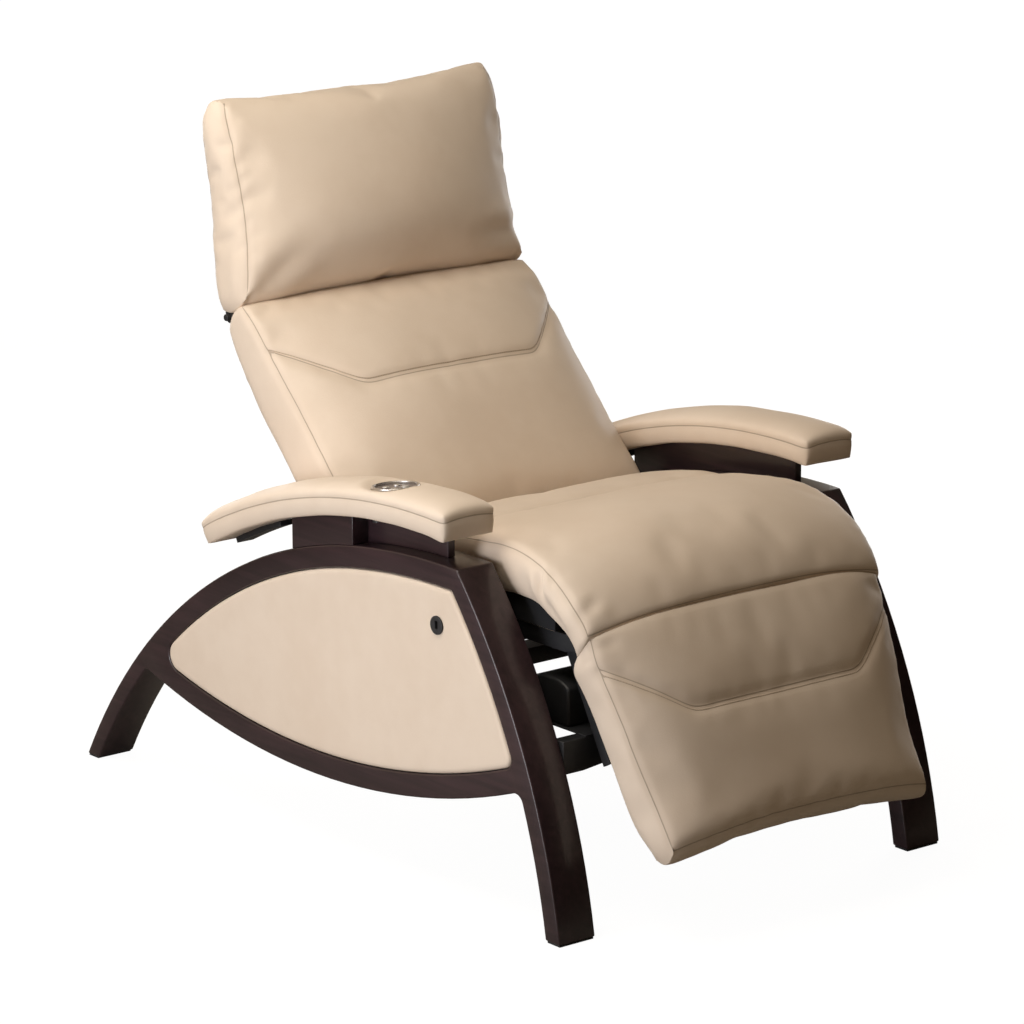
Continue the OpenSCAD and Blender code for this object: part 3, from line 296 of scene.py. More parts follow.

# ---- Leather: the hide over every pad and panel ------------------------------
# Cream upholstery hide, semi-aniline: fine pebbled grain, soft sheen, slight clouds
# in the colour. A seam shows as a narrow fold between two rolled edges; its darkness in and beside the fold is
# painted shade.


def hide(name, light, dark):
    """Pebbled, softly shining leather, with painted shade in and beside the nearest seam."""
    material, shader, wire = finish(name, Specular_IOR_Level=0.28, Sheen_Weight=0.06)
    coords = wire.coords()
    clouds = wire.mottle(Vector=coords, Scale=4.5, Detail=3.0, Roughness=0.5)
    blotches = wire.mottle(Vector=coords, Scale=38.0, Detail=3.0)
    pebbles = wire.node("ShaderNodeTexVoronoi", {"feature": "SMOOTH_F1"},
                        {"Vector": coords, "Scale": 620.0, "Smoothness": 0.6})
    creases = wire.mottle(Vector=coords, Scale=210.0, Detail=4.0)
    seam = wire.node("ShaderNodeAttribute", {"attribute_name": "seam"}, out=2)
    fold = 1.0 - seam.between(0.0003, 0.0014)
    shade_beside_seam = 1.0 - seam.between(0.0015, 0.009)
    hide_colour = (clouds * 0.75 + blotches * 0.25).between(0.33, 0.67).blend_colours(dark, light)
    # Painted shade: the hide is drawn towards dark brown in the seam's fold, and faintly in a band beside it.
    shaded = (fold * 0.50 + shade_beside_seam * 0.07).blend_colours(hide_colour, (0.20, 0.135, 0.085, 1))
    shaded.into(shader, "Base Color")
    (0.52 + blotches * 0.12 + fold * 0.2).into(shader, "Roughness")
    wire.relief(0.30, 0.0006, pebbles * 0.35 + creases * 0.5 - fold * 3.0).into(shader, "Normal")
    return material


cream_hide = hide("cream_hide", (0.775, 0.64, 0.51, 1), (0.735, 0.595, 0.465, 1))


def in_hide(piece):
    dress(piece, cream_hide)


# ---- Side panels: padded boards in the frames' openings ----------------------
# A thin pad of foam and hide over a board, dropped into the rebate of the opening,
# with a soft rolled edge and a narrow dark gap all round.

PANEL_ROLL = ((0.0, 5.5), (0.6, 3.4), (1.8, 1.7), (3.6, 0.7), (6.5, 0.15), (10.0, 0.0))
PANEL_OUTER, PANEL_INNER, HOLE_DEEP = 346.5, 320.0, 3.0
RIM_STEP, HOLE_STEP, FIELD_STEP, FIELD_CLEAR = 5.0, 2.5, 12.0, 8
SWELL_HEIGHT, SWELL_SIZE, SWELL_EDGE = 0.9, 90, 40
NO_SEAM_NEAR = 0.02


def new_piece(name, points, faces, seam):
    """A piece from points in metres, normals outwards, with each point's distance to a seam."""
    mesh = bpy.data.meshes.new(name)
    mesh.from_pydata([tuple(point) for point in points], [], [tuple(face) for face in faces])
    work = bmesh.new()
    work.from_mesh(mesh)
    bmesh.ops.recalc_face_normals(work, faces=work.faces)
    work.to_mesh(mesh)
    work.free()
    distances = mesh.attributes.new("seam", "FLOAT", "POINT").data
    distances.foreach_set("value", np.asarray(seam, dtype=np.float32))
    smooth_by_angle(mesh, 60)
    return put(name, mesh)


def outline_of(name, outer):
    """The loop round a node's face at x = outer, as points (y, z) in millimetres."""
    work = bmesh.new()
    work.from_mesh(nodes[name].data)
    bmesh.ops.remove_doubles(work, verts=work.verts, dist=SAME_POINT)
    flat = [face for face in work.faces if all(abs(v.co.x * 1000 - outer) < 0.05 for v in face.verts)]
    rim = [edge for edge in work.edges if sum(face in flat for face in edge.link_faces) == 1]
    loops = []
    while rim:
        edge = rim.pop()
        chain = [edge.verts[0], edge.verts[1]]
        while chain[-1] != chain[0]:
            nxt = next(e for e in rim if chain[-1] in e.verts)
            rim.remove(nxt)
            chain.append(nxt.other_vert(chain[-1]))
        loops.append([(v.co.y * 1000, v.co.z * 1000) for v in chain[:-1]])
    work.free()
    return sorted((np.array(loop) for loop in loops), key=lambda loop: -np.ptp(loop[:, 0]))


def evened(loop, spacing):
    """A closed loop of (y, z) points again, evenly spaced, going round anticlockwise."""
    closed = np.vstack([loop, loop[:1]])
    length = np.concatenate([[0], np.cumsum(np.hypot(*np.diff(closed, axis=0).T))])
    count = int(length[-1] / spacing)
    even = np.linspace(0, length[-1], count, endpoint=False)
    ring = np.stack([np.interp(even, length, closed[:, axis]) for axis in (0, 1)], axis=1)
    area = np.sum(ring[:, 0] * np.roll(ring[:, 1], -1) - ring[:, 1] * np.roll(ring[:, 0], -1))
    return ring if area > 0 else ring[::-1]


def inside(point, loop):
    """Whether a point (y, z) lies within a closed loop of them."""
    y, z = point
    ahead = np.roll(loop, -1, axis=0)
    crosses = ((loop[:, 1] > z) != (ahead[:, 1] > z)) & \
        (y < (ahead[:, 0] - loop[:, 0]) * (z - loop[:, 1]) / (ahead[:, 1] - loop[:, 1] + 1e-12) + loop[:, 0])
    return bool(crosses.sum() % 2)


def panel_field(edge_loop, holes):
    """The flat field inside the roll: points (y, z) and triangles, with the holes left open."""
    low, high = edge_loop.min(axis=0), edge_loop.max(axis=0)
    rings = [edge_loop] + holes
    flat, constraint = [], []
    for ring in rings:
        start, count = len(flat), len(ring)
        flat += [tuple(p) for p in ring]
        constraint += [(start + k, start + (k + 1) % count) for k in range(count)]
    for y in np.arange(low[0] + FIELD_STEP / 2, high[0], FIELD_STEP):
        for z in np.arange(low[1] + FIELD_STEP / 2, high[1], FIELD_STEP):
            if min(np.min(np.hypot(*(ring - (y, z)).T)) for ring in rings) > FIELD_CLEAR:
                flat.append((y, z))
    made = geometry.delaunay_2d_cdt([Vector(p) for p in flat], constraint, [], 0, 1e-6)
    field = np.array([tuple(v) for v in made[0]])
    centres = [hole.mean(axis=0) for hole in holes]
    radii = [np.max(np.hypot(*(hole - centre).T)) for hole, centre in zip(holes, centres)]
    faces = []
    for face in made[2]:
        middle = field[list(face)].mean(axis=0)
        in_hole = any(np.hypot(*(middle - centre)) < radius * 0.98 for centre, radius in zip(centres, radii))
        if not in_hole and inside(middle, edge_loop):
            faces.append(face)
    return field, faces


def side_panel(name, sign, outer, inner):
    """A closed pad: back edge, rolled rim, the field with a soft unevenness, and a flat back."""
    rim, *holes = outline_of(name, sign * outer)
    ring = evened(rim, RIM_STEP)
    holes = [evened(hole, HOLE_STEP) for hole in holes]
    forward = np.roll(ring, -1, axis=0) - np.roll(ring, 1, axis=0)
    inward = np.stack([-forward[:, 1], forward[:, 0]], axis=1)
    inward /= np.hypot(*inward.T)[:, None]
    points, faces = [], []
    count = len(ring)
    for offset, sunk in ((0.0, outer - inner),) + PANEL_ROLL:
        points += [(sign * (outer - sunk) / 1000, y / 1000, z / 1000) for y, z in ring + inward * offset]
    for row in range(len(PANEL_ROLL)):
        for k in range(count):
            nxt = (k + 1) % count
            faces.append((row * count + k, row * count + nxt, (row + 1) * count + nxt, (row + 1) * count + k))
    edge_loop = ring + inward * PANEL_ROLL[-1][0]
    field, triangles = panel_field(edge_loop, holes)
    base = len(points)
    for y, z in field:
        edge_near = min(1.0, np.min(np.hypot(*(edge_loop - (y, z)).T)) / SWELL_EDGE)
        swell = SWELL_HEIGHT * noise.noise(Vector((y / SWELL_SIZE, z / SWELL_SIZE, 3.0))) * edge_near
        points.append((sign * (outer + min(0.0, swell)) / 1000, y / 1000, z / 1000))
    faces += [tuple(base + k for k in face) for face in triangles]
    piece = new_piece(name + "_pad", points, faces, [NO_SEAM_NEAR] * len(points))
    work = bmesh.new()
    work.from_mesh(piece.data)
    bmesh.ops.remove_doubles(work, verts=work.verts, dist=2e-5)
    open_edges = [edge for edge in work.edges if len(edge.link_faces) == 1]
    back_edges = [e for e in open_edges if all(abs(abs(v.co.x) * 1000 - inner) < 0.01 for v in e.verts)]
    bmesh.ops.edgeloop_fill(work, edges=back_edges)
    hole_edges = [e for e in work.edges if len(e.link_faces) == 1]
    if hole_edges:
        wall = bmesh.ops.extrude_edge_only(work, edges=hole_edges)["geom"]
        for v in (g for g in wall if isinstance(g, bmesh.types.BMVert)):
            v.co.x = sign * (outer - HOLE_DEEP) / 1000
    bmesh.ops.recalc_face_normals(work, faces=work.faces)
    work.to_mesh(piece.data)
    work.free()
    smooth_by_angle(piece.data, 50)
    return piece


for side, sign in (("right", -1), ("left", 1)):
    panel = side_panel("side_panel_" + side, sign, PANEL_OUTER, PANEL_INNER)
    in_hide(panel)
    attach(panel, "base")
    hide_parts("side_panel_" + side)

# ---- Arm pads: bent boards with foam and hide --------------------------------
# Each follows the arch of the arms. The top cover is sewn to a band that runs
# round the edge; on the right pad the hide dips to the rim of the keypad.


def through(knots, t):
    """A smooth line through rows of numbers; t counts the rows."""
    last = len(knots) - 1
    i = np.clip(np.floor(t).astype(int), 0, last - 1)
    f = (t - i)[..., None]
    a, b, c, d = (knots[np.clip(i + step, 0, last)] for step in (-1, 0, 1, 2))
    square, cube = 2 * a - 5 * b + 4 * c - d, 3 * b - a - 3 * c + d
    return 0.5 * (2 * b + (c - a) * f + square * f ** 2 + cube * f ** 3)


FAR_FROM_SEAM, SEAM_REACH = 0.05, 40
ROLL_HEIGHT, ROLL_AWAY = 0.45, 2.1


class Cushion:
    """A closed cushion: a box of rows, columns and layers, drawn over the knots of its piece.

    A knot is a point of the front seam line, one of the rear line, both as (along, up) in
    the piece's own plane, then half the width in front and behind, and the crown."""

    def __init__(self, name, knots, plane, spacing=5.5, must=(), folds=None, layers=8,
                 bulge=3.0, rear_crown=2.0, ends=(2.0, 2.0), power=4.0, middle=0.0):
        self.name = name
        knots = np.array(knots, dtype=float)
        fine = np.linspace(0, len(knots) - 1, 400)
        line = through(knots, fine)[:, :2]
        length = np.concatenate([[0], np.cumsum(np.hypot(*np.diff(line, axis=0).T))])
        stops = sorted({0.0, float(len(knots) - 1), *must})
        rows = []
        for start, end in zip(stops, stops[1:]):
            a, b = np.interp([start, end], fine, length)
            count = max(1, round((b - a) / spacing))
            rows += list(np.interp(np.linspace(a, b, count, endpoint=False), length, fine))
        rows.append(stops[-1])
        self.t = np.array(rows)
        widest = knots[:, 4].max()
        columns = int(2 * widest / spacing / 2) * 2
        self.u = np.sin(np.linspace(-1, 1, columns + 1) * 1.05) / math.sin(1.05)
        self.s = np.linspace(0, 1, layers + 1) if np.isscalar(layers) else np.array(layers)
        shape = (len(self.t), len(self.u), len(self.s))
        grid = np.indices(shape)
        edge = np.zeros(shape, dtype=bool)
        for axis in range(3):
            edge |= (grid[axis] == 0) | (grid[axis] == shape[axis] - 1)
        self.index = np.full(shape, -1)
        self.index[edge] = np.arange(edge.sum())
        self.i, self.j, self.k = (grid[axis][edge] for axis in range(3))
        t, u, s = self.t[self.i], self.u[self.j], self.s[self.k]
        moved = folds(t, u) if folds else t
        row = through(knots, moved)
        front, rear = row[:, 0:2], row[:, 2:4]
        out = front - rear
        out /= np.hypot(*out.T)[:, None]
        ahead = through(knots, moved + 0.01)[:, 0:2] - through(knots, moved - 0.01)[:, 0:2]
        ahead /= np.hypot(*ahead.T)[:, None]
        half = row[:, 4] * (1 - s) + row[:, 5] * s
        round_side = 4 * s * (1 - s)
        level = front + (rear - front) * s[:, None]
        level += out * (row[:, 6] * (1 - np.abs(u) ** power) * (1 - s))[:, None]
        level -= out * (rear_crown * (1 - u ** 4) * s)[:, None]
        at_start, at_end = self.i == 0, self.i == shape[0] - 1
        level -= ahead * (ends[0] * round_side * at_start)[:, None]
        level += ahead * (ends[1] * round_side * at_end)[:, None]
        x = u * half + np.sign(u) * bulge * round_side * np.abs(u) ** 12
        self.points = np.stack([x + middle, *plane(level).T], axis=1)
        quads = []
        ix = self.index
        for face, flip in ((ix[:, :, 0], 0), (ix[:, :, -1], 1), (ix[:, 0, :], 1), (ix[:, -1, :], 0),
                           (ix[0, :, :], 0), (ix[-1, :, :], 1)):
            corners = face[:-1, :-1], face[1:, :-1], face[1:, 1:], face[:-1, 1:]
            loop = np.stack(corners, axis=-1).reshape(-1, 4)
            quads.append(loop[:, ::-1] if flip else loop)
        self.faces = np.concatenate(quads)
        pairs = np.stack([self.faces.ravel(), np.roll(self.faces, -1, axis=1).ravel()], axis=1)
        self.pairs = np.unique(np.sort(pairs, axis=1), axis=0)
        self.seam = np.full(len(self.points), FAR_FROM_SEAM)

    def pick(self, i=None, j=None, k=0):
        """The points of one line of the box: of a row i, or a column j, on layer k."""
        return self.index[:, j, k] if i is None else self.index[i, :, k]

    def around(self, k):
        """The points of layer k all the way round."""
        return np.concatenate([self.pick(i=0, k=k), self.pick(i=-1, k=k), *self.side_lines(k)])

    def side_lines(self, k=0):
        """The two long edges of layer k."""
        return [self.pick(j=0, k=k), self.pick(j=-1, k=k)]

    def row_at(self, t):
        return int(np.argmin(np.abs(self.t - t)))

    def soften(self, times, hold=None, rate=0.5):
        """Rounds the corners: each point moves towards its neighbours, the nearest counting most."""
        a, b = self.pairs.T
        keep = np.ones(len(self.points)) if hold is None else 1 - hold
        for _ in range(times):
            step = self.points[b] - self.points[a]
            weight = 1 / (np.linalg.norm(step, axis=1) + 1e-3)
            total = np.zeros(len(self.points))
            pull = np.zeros_like(self.points)
            np.add.at(total, a, weight)
            np.add.at(total, b, weight)
            np.add.at(pull, a, step * weight[:, None])
            np.add.at(pull, b, -step * weight[:, None])
            self.points += rate * keep[:, None] * pull / total[:, None]

    def normals(self):
        p = self.points[self.faces]
        normal = np.cross(p[:, 2] - p[:, 0], p[:, 3] - p[:, 1])
        total = np.zeros_like(self.points)
        for corner in range(4):
            np.add.at(total, self.faces[:, corner], normal)
        total /= np.linalg.norm(total, axis=1)[:, None] + 1e-12
        return total * self.facing()

    def facing(self):
        """1 where the faces already point outwards, -1 where they point in."""
        p = self.points[self.faces]
        volume = np.einsum("ij,ij->", p[:, 0], np.cross(p[:, 1], p[:, 2]) + np.cross(p[:, 2], p[:, 3]))
        return 1.0 if volume > 0 else -1.0

    def sew(self, lines, depth=1.6, width=7.0):
        """Pulls the hide in along lines of points, and keeps each point's distance to them."""
        spots = np.unique(np.concatenate(lines))
        far = self.distance(spots)
        self.points -= self.normals() * (depth * np.exp(-(far / width) ** 2) * (far < SEAM_REACH))[:, None]
        self.seam = np.minimum(self.seam, far / 1000)
        return far

    def distance(self, spots):
        tree = kdtree.KDTree(len(spots))
        for order, spot in enumerate(spots):
            tree.insert(self.points[spot], order)
        tree.balance()
        return np.array([tree.find(point)[2] for point in self.points])

    def pucker(self, far, seed, height=0.9, reach=24.0, pitch=15.0):
        """Small gathers that run out from a seam and die away with the distance to it."""
        near = np.flatnonzero(far < reach * 2.5)
        normal = self.normals()
        for spot in near:
            x, y, z = self.points[spot]
            wave = noise.noise(Vector((x / pitch, (y + z) / pitch, seed)))
            self.points[spot] += normal[spot] * height * wave * math.exp(-(far[spot] / reach) ** 1.3)

    def unsettle(self, seed, height=1.3, size=130.0):
        """The broad unevenness of foam under hide."""
        lift = np.array([noise.noise(Vector(point / size) + Vector((seed, 0, 0))) for point in self.points])
        self.points += self.normals() * (lift * height)[:, None]

    def crease(self, start, end, depth, width):
        """One fold from start to end, deepest in its middle, with a low roll on each side."""
        a, b = np.array(start, dtype=float), np.array(end, dtype=float)
        run = b - a
        f = np.clip(((self.points - a) @ run) / (run @ run), 0, 1)
        far = np.linalg.norm(self.points - (a + f[:, None] * run), axis=1)
        roll = ROLL_HEIGHT * np.exp(-((far - ROLL_AWAY * width) / width) ** 2)
        bowl = np.exp(-(far / width) ** 2) - roll
        taper = np.sin(np.pi * np.clip(f * 0.9 + 0.05, 0, 1))
        self.points -= self.normals() * (depth * bowl * taper)[:, None]

    def swell(self, lines, grip, fixed, cap, pressure, growth=0.005, frames=20):
        """Lets the hide fill out as cloth over its foam, and keeps the shape it settles in.

        The points on lines are held with that grip, and those that are fixed don't move."""
        held = np.zeros(len(self.points))
        held[np.concatenate(lines)] = grip
        held[fixed] = 1.0
        mesh = bpy.data.meshes.new("trial")
        mesh.from_pydata([tuple(place(*point)) for point in self.points], [], self.faces.tolist())
        trial = put("trial", mesh)
        held_group = trial.vertex_groups.new(name="held")
        for level in range(1, 11):
            chosen = np.flatnonzero(np.round(held * 10) == level)
            if len(chosen):
                held_group.add(chosen.tolist(), level / 10, "REPLACE")
        cloth = trial.modifiers.new("cloth", "CLOTH")
        cloth.collision_settings.use_collision = False
        cover = cloth.settings
        cover.quality, cover.mass = 5, 0.3
        cover.tension_stiffness = cover.compression_stiffness = 12
        cover.shear_stiffness, cover.bending_stiffness = 4, 9.0
        cover.use_pressure = True
        cover.uniform_pressure_force = pressure * self.facing()
        cover.shrink_min = -growth
        cover.vertex_group_mass = "held"
        cover.effector_weights.gravity = 0
        for frame_number in range(1, frames + 1):
            bpy.context.scene.frame_set(frame_number)
        settled = trial.evaluated_get(bpy.context.evaluated_depsgraph_get()).data
        found = np.empty(len(self.points) * 3)
        settled.vertices.foreach_get("co", found)
        found = found.reshape(-1, 3) * 1000 + (0, PLAN_MIDDLE, 0)
        move = found - self.points
        length = np.linalg.norm(move, axis=1)[:, None] + 1e-9
        self.points += move * (cap * np.tanh(length / cap) / length)
        bpy.data.objects.remove(trial)
        bpy.context.scene.frame_set(1)

    def build(self):
        points = [place(*point) for point in self.points]
        return new_piece(self.name, points, self.faces.tolist(), self.seam)


ARC_Y, ARC_RADIUS, PAD_APEX = 73.0, 1006.0, 516.0
PAD_FRONT, PAD_REAR = math.radians(93.65), math.radians(61.8)
PAD_DEEP, PAD_CROWN, PAD_HALF, PAD_X = 36.5, 11.0, 47.0, 323.0
PAD_LONG = ARC_RADIUS * (PAD_FRONT - PAD_REAR)
KEYPAD_AT, KEYPAD_TILT, KEYPAD_RADIUS = np.array((-323.0, 168.0, 552.68)), math.radians(5.206), 33.0
DIP_RADIUS, DIP_EASE, DIP_LEVEL = 52, 17, -0.9
LIP_DROP, LIP_RADIUS, LIP_WIDTH, RIM_SEAM = 1.3, 34, 5, 34.6


def apply_modifier(piece):
    """Makes a plain mesh of a piece and its one modifier."""
    bpy.context.view_layer.update()
    made = bpy.data.meshes.new_from_object(piece.evaluated_get(bpy.context.evaluated_depsgraph_get()))
    piece.modifiers.clear()
    piece.data = made


def arm_plane(level):
    """Bends (distance from the front end, height above the underside) onto the pad's arc."""
    angle = PAD_FRONT - level[:, 0] / ARC_RADIUS
    radius = ARC_RADIUS + level[:, 1]
    return np.stack([ARC_Y + radius * np.cos(angle), PAD_APEX - ARC_RADIUS + radius * np.sin(angle)], axis=1)


# distance along the pad; then how far its top drops, underside sags, sides and crown draw in
PAD_ENDS = ((0, 1.0, 4.0, 2.5, 4.5), (12, 0.3, 3.4, 0.6, 1.8), (40, 0, 1.6, 0, 0), (PAD_LONG / 3, 0, 0.5, 0, 0),
            (PAD_LONG / 2, 0, 0, 0, 0), (PAD_LONG * 2 / 3, 0, 0, 0, 0), (PAD_LONG - 40, 0, 0, 0, 0),
            (PAD_LONG - 12, 0.6, 0, 0.6, 1.8), (PAD_LONG, 2.0, 0, 2.5, 4.5))
PAD_LAYERS = (0, 0.1, 0.2, 0.28, 0.36, 0.5, 0.65, 0.8, 0.92, 1)
for side, sign, seed in (("right", -1, 31.0), ("left", 1, 47.0)):
    knots = [(a, PAD_DEEP - drop, a, -sag, PAD_HALF - narrow, PAD_HALF - narrow - 1.0, PAD_CROWN - low)
             for a, drop, sag, narrow, low in PAD_ENDS]
    pad = Cushion("arm_pad_hide_" + side, knots, arm_plane, spacing=4.2, layers=PAD_LAYERS, bulge=1.2,
                  rear_crown=0.0, ends=(2.0, 2.0), power=2.4, middle=sign * PAD_X)
    pad.soften(12)
    far = pad.sew([pad.around(3)], depth=1.1, width=3.2)
    pad.pucker(far, seed, height=0.5, reach=12, pitch=14)
    pad.unsettle(seed, height=1.2, size=60)
    if side == "right":
        lift = np.array(Matrix.Rotation(-KEYPAD_TILT, 3, "X") @ Vector((0, 0, 1)))
        reach = pad.points - KEYPAD_AT
        height = reach @ lift
        off_axis = np.linalg.norm(reach - height[:, None] * lift, axis=1)
        near = np.clip((DIP_RADIUS - off_axis) / DIP_EASE, 0, 1)
        near = near * near * (3 - 2 * near) * (pad.k == 0)
        dip = DIP_LEVEL - LIP_DROP * np.exp(-((off_axis - LIP_RADIUS) / LIP_WIDTH) ** 2)
        pad.points += ((dip - height) * near)[:, None] * lift
        # The keypad rim counts as a seam, so the hide gets its fold and painted shade in a ring where it meets
        # the rim.
        pad.seam = np.minimum(pad.seam, np.abs(off_axis - RIM_SEAM) / 1000 + (pad.k > 0))
    piece = pad.build()
    if side == "right":
        cutter = bmesh.new()
        hole_radius = (KEYPAD_RADIUS + 0.25) / 1000
        bmesh.ops.create_cone(cutter, cap_ends=True, segments=96, radius1=hole_radius,
                              radius2=hole_radius, depth=0.06)
        cutter.transform(Matrix.Translation(place(*KEYPAD_AT)) @ Matrix.Rotation(-KEYPAD_TILT, 4, "X")
                         @ Matrix.Translation((0, 0, 0.005)))
        cutter_mesh = bpy.data.meshes.new("keypad_hole")
        cutter.to_mesh(cutter_mesh)
        cutter.free()
        hole = put("keypad_hole", cutter_mesh)
        cut = piece.modifiers.new("keypad_hole", "BOOLEAN")
        cut.object, cut.operation, cut.solver = hole, "DIFFERENCE", "EXACT"
        apply_modifier(piece)
        bpy.data.objects.remove(hole)
    in_hide(piece)
    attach(piece, "base")
    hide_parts("arm_pad_" + side)

# ---- Seat cushion: foam under sewn hide --------------------------------------
# A front and a rear panel joined by a cross seam, with a gusset down each side; it
# lies on the webbing of the seat pan and rolls over the front edge to the leg rest.


def flat_plane(level):
    return level


SEAT_KNOTS = (
    (305, 447, 287, 408, 256, 256, 5), (258, 460, 250, 406, 262, 262, 10), (206, 471, 204, 406, 262, 262, 11),
    (155, 480, 152, 408, 262, 262, 6), (104, 486, 98, 414, 262, 262, 12), (54, 491, 44, 422, 264, 264, 15),
    (4, 495, -8, 427, 266, 266, 18), (-40, 491, -46, 427, 268, 268, 22), (-80, 479, -78, 421, 268, 268, 28),
    (-116, 458, -103, 409, 268, 268, 34), (-143, 435, -122, 395, 267, 267, 32),
    (-159, 417, -132, 382, 264, 264, 31), (-165, 402, -141, 368, 262, 262, 29),
)
CREASE_START, CREASE_END = place(0, -140, 444), place(0, -204, 380)
SEAT_CREASES = (
    ((-274, -70, 482), (-276, -84, 428), 9.0, 6), ((-276, -80, 444), (-272, -128, 396), 5.5, 7),
    ((-272, -40, 470), (-272, -52, 425), 1.6, 9), ((272, -96, 476), (274, -86, 400), 4.0, 10),
    ((-262, -150, 425), (-225, -146, 448), 2.2, 8),
)
SEAT_SEAM_ROW = 3.0
seat = Cushion("seat_hide", SEAT_KNOTS, flat_plane, must=(SEAT_SEAM_ROW,),
               bulge=4.0, rear_crown=0.5, ends=(2.0, 3.0), power=3.1)
cross = seat.row_at(SEAT_SEAM_ROW)
at_crease = np.clip(1 - (len(seat.t) - 1 - seat.i) / 3, 0, 1) * 0.85
seat.soften(16, hold=at_crease)
fixed = (seat.k == len(seat.s) - 1) | (seat.i == 0) | (seat.i >= len(seat.t) - 2)
seat.swell([*seat.side_lines(), seat.pick(i=cross)], 0.8, fixed, cap=9.0, pressure=3.0)
seat.soften(8, hold=at_crease)
for crease in SEAT_CREASES:
    seat.crease(*crease)
seat.sew([seat.pick(i=-1)], depth=0.6, width=3.0)
far = seat.sew(seat.side_lines(), depth=1.2, width=6.0)
seat.pucker(far, 1.7, height=1.3, reach=26, pitch=17)
far = seat.sew([seat.pick(i=cross)], depth=3.2, width=9.0)
seat.pucker(far, 5.1, height=1.0, reach=20, pitch=19)
seat.unsettle(2.0, height=2.2, size=120)
seat_piece = seat.build()
in_hide(seat_piece)
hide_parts("seat_cushion")
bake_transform(seat_piece)

# ---- Back: foam, hide and rear cover in one sewn shell -----------------------
# Two panels meet in a double-stitched seam that is level in the middle and rises to
# both sides; a plain gusset runs round to the rear cover, which is zipped shut below.

STITCH_PITCH, STITCH_LONG, THREAD = 0.0042, 0.0030, 0.0004


def stitch_tree(thread_material):
    """Thread along a line of points: one short capsule at each pitch, set along the line."""
    tree = bpy.data.node_groups.new("stitching", "GeometryNodeTree")
    tree.interface.new_socket("Line", in_out="INPUT", socket_type="NodeSocketGeometry")
    for name, value in (("Pitch", STITCH_PITCH), ("Length", STITCH_LONG), ("Thickness", THREAD)):
        tree.interface.new_socket(name, in_out="INPUT", socket_type="NodeSocketFloat").default_value = value
    tree.interface.new_socket("Thread", in_out="OUTPUT", socket_type="NodeSocketGeometry")
    given = tree.nodes.new("NodeGroupInput")
    line, pitch, length, thickness = (Wire(tree, given.outputs[k]) for k in range(4))
    curve = line.node("GeometryNodeMeshToCurve", None, {0: line})
    spaced = line.node("GeometryNodeResampleCurve", {"mode": "LENGTH"}, {"Curve": curve, "Length": pitch})
    size = line.node("ShaderNodeCombineXYZ", None, {0: thickness, 1: thickness, 2: length * 0.5})
    bead = line.node("GeometryNodeMeshUVSphere", None, {"Segments": 6, "Rings": 4, "Radius": 1.0})
    heading = line.node("FunctionNodeAlignRotationToVector", {"axis": "Z"},
                        {"Vector": line.node("GeometryNodeInputTangent")})
    laid = line.node("GeometryNodeInstanceOnPoints", None,
                     {"Points": spaced, "Instance": bead, "Rotation": heading, "Scale": size})
    real = line.node("GeometryNodeRealizeInstances", None, {0: laid})
    dressed = line.node("GeometryNodeSetMaterial", None, {"Geometry": real, "Material": thread_material})
    tree.links.new(dressed.socket, tree.nodes.new("NodeGroupOutput").inputs[0])
    return tree


thread, thread_shader, wire = finish("cream_thread", Roughness=0.55, Specular_IOR_Level=0.4)
strands = wire.mottle(Vector=wire.coords(), Scale=900.0)
strands.blend_colours((0.46, 0.33, 0.22, 1), (0.66, 0.50, 0.35, 1)).into(thread_shader, "Base Color")
stitching = stitch_tree(thread)


def stitch(name, cushion, lines, lift=0.25):
    """Sews visible thread along lines of a cushion's points, just proud of the hide."""
    normal = cushion.normals()
    points, edges = [], []
    for row in lines:
        spots = cushion.points[row] + normal[row] * lift
        edges += [(len(points) + k, len(points) + k + 1) for k in range(len(row) - 1)]
        points += [place(*spot) for spot in spots]
    mesh = bpy.data.meshes.new(name)
    mesh.from_pydata([tuple(point) for point in points], edges, [])
    piece = put(name, mesh)
    sewn = piece.modifiers.new("stitching", "NODES")
    sewn.node_group = stitching
    for item in stitching.interface.items_tree:
        if item.in_out == "INPUT" and item.name == "Pitch":
            sewn[item.identifier] = STITCH_PITCH
    apply_modifier(piece)
    smooth_by_angle(piece.data, 80)
    return piece


BACK_ANGLE, LEG_ANGLE = math.radians(46.4), math.radians(61.5)


def back_plane(level):
    a, h = level.T
    return np.stack([319 + a * math.cos(BACK_ANGLE) - h * math.sin(BACK_ANGLE),
                     376 + a * math.sin(BACK_ANGLE) + h * math.cos(BACK_ANGLE)], axis=1)


def leg_plane(level):
    a, h = level.T
    return np.stack([-148 - a * math.cos(LEG_ANGLE) - h * math.sin(LEG_ANGLE),
                     388 - a * math.sin(LEG_ANGLE) + h * math.cos(LEG_ANGLE)], axis=1)


def chevron(seam_row, last, rise, flat=0.6, bow=0.0):
    """Rows that follow a seam level in the middle and turned up, or down, at both sides."""
    def shifted(t, u):
        near = np.where(t < seam_row, t / seam_row, (last - t) / (last - seam_row))
        bowed = t - bow * (1 - u ** 2) * (t / last) ** 6
        return bowed + rise * np.clip((np.abs(u) - flat) / (1 - flat), 0, 1) * near
    return shifted


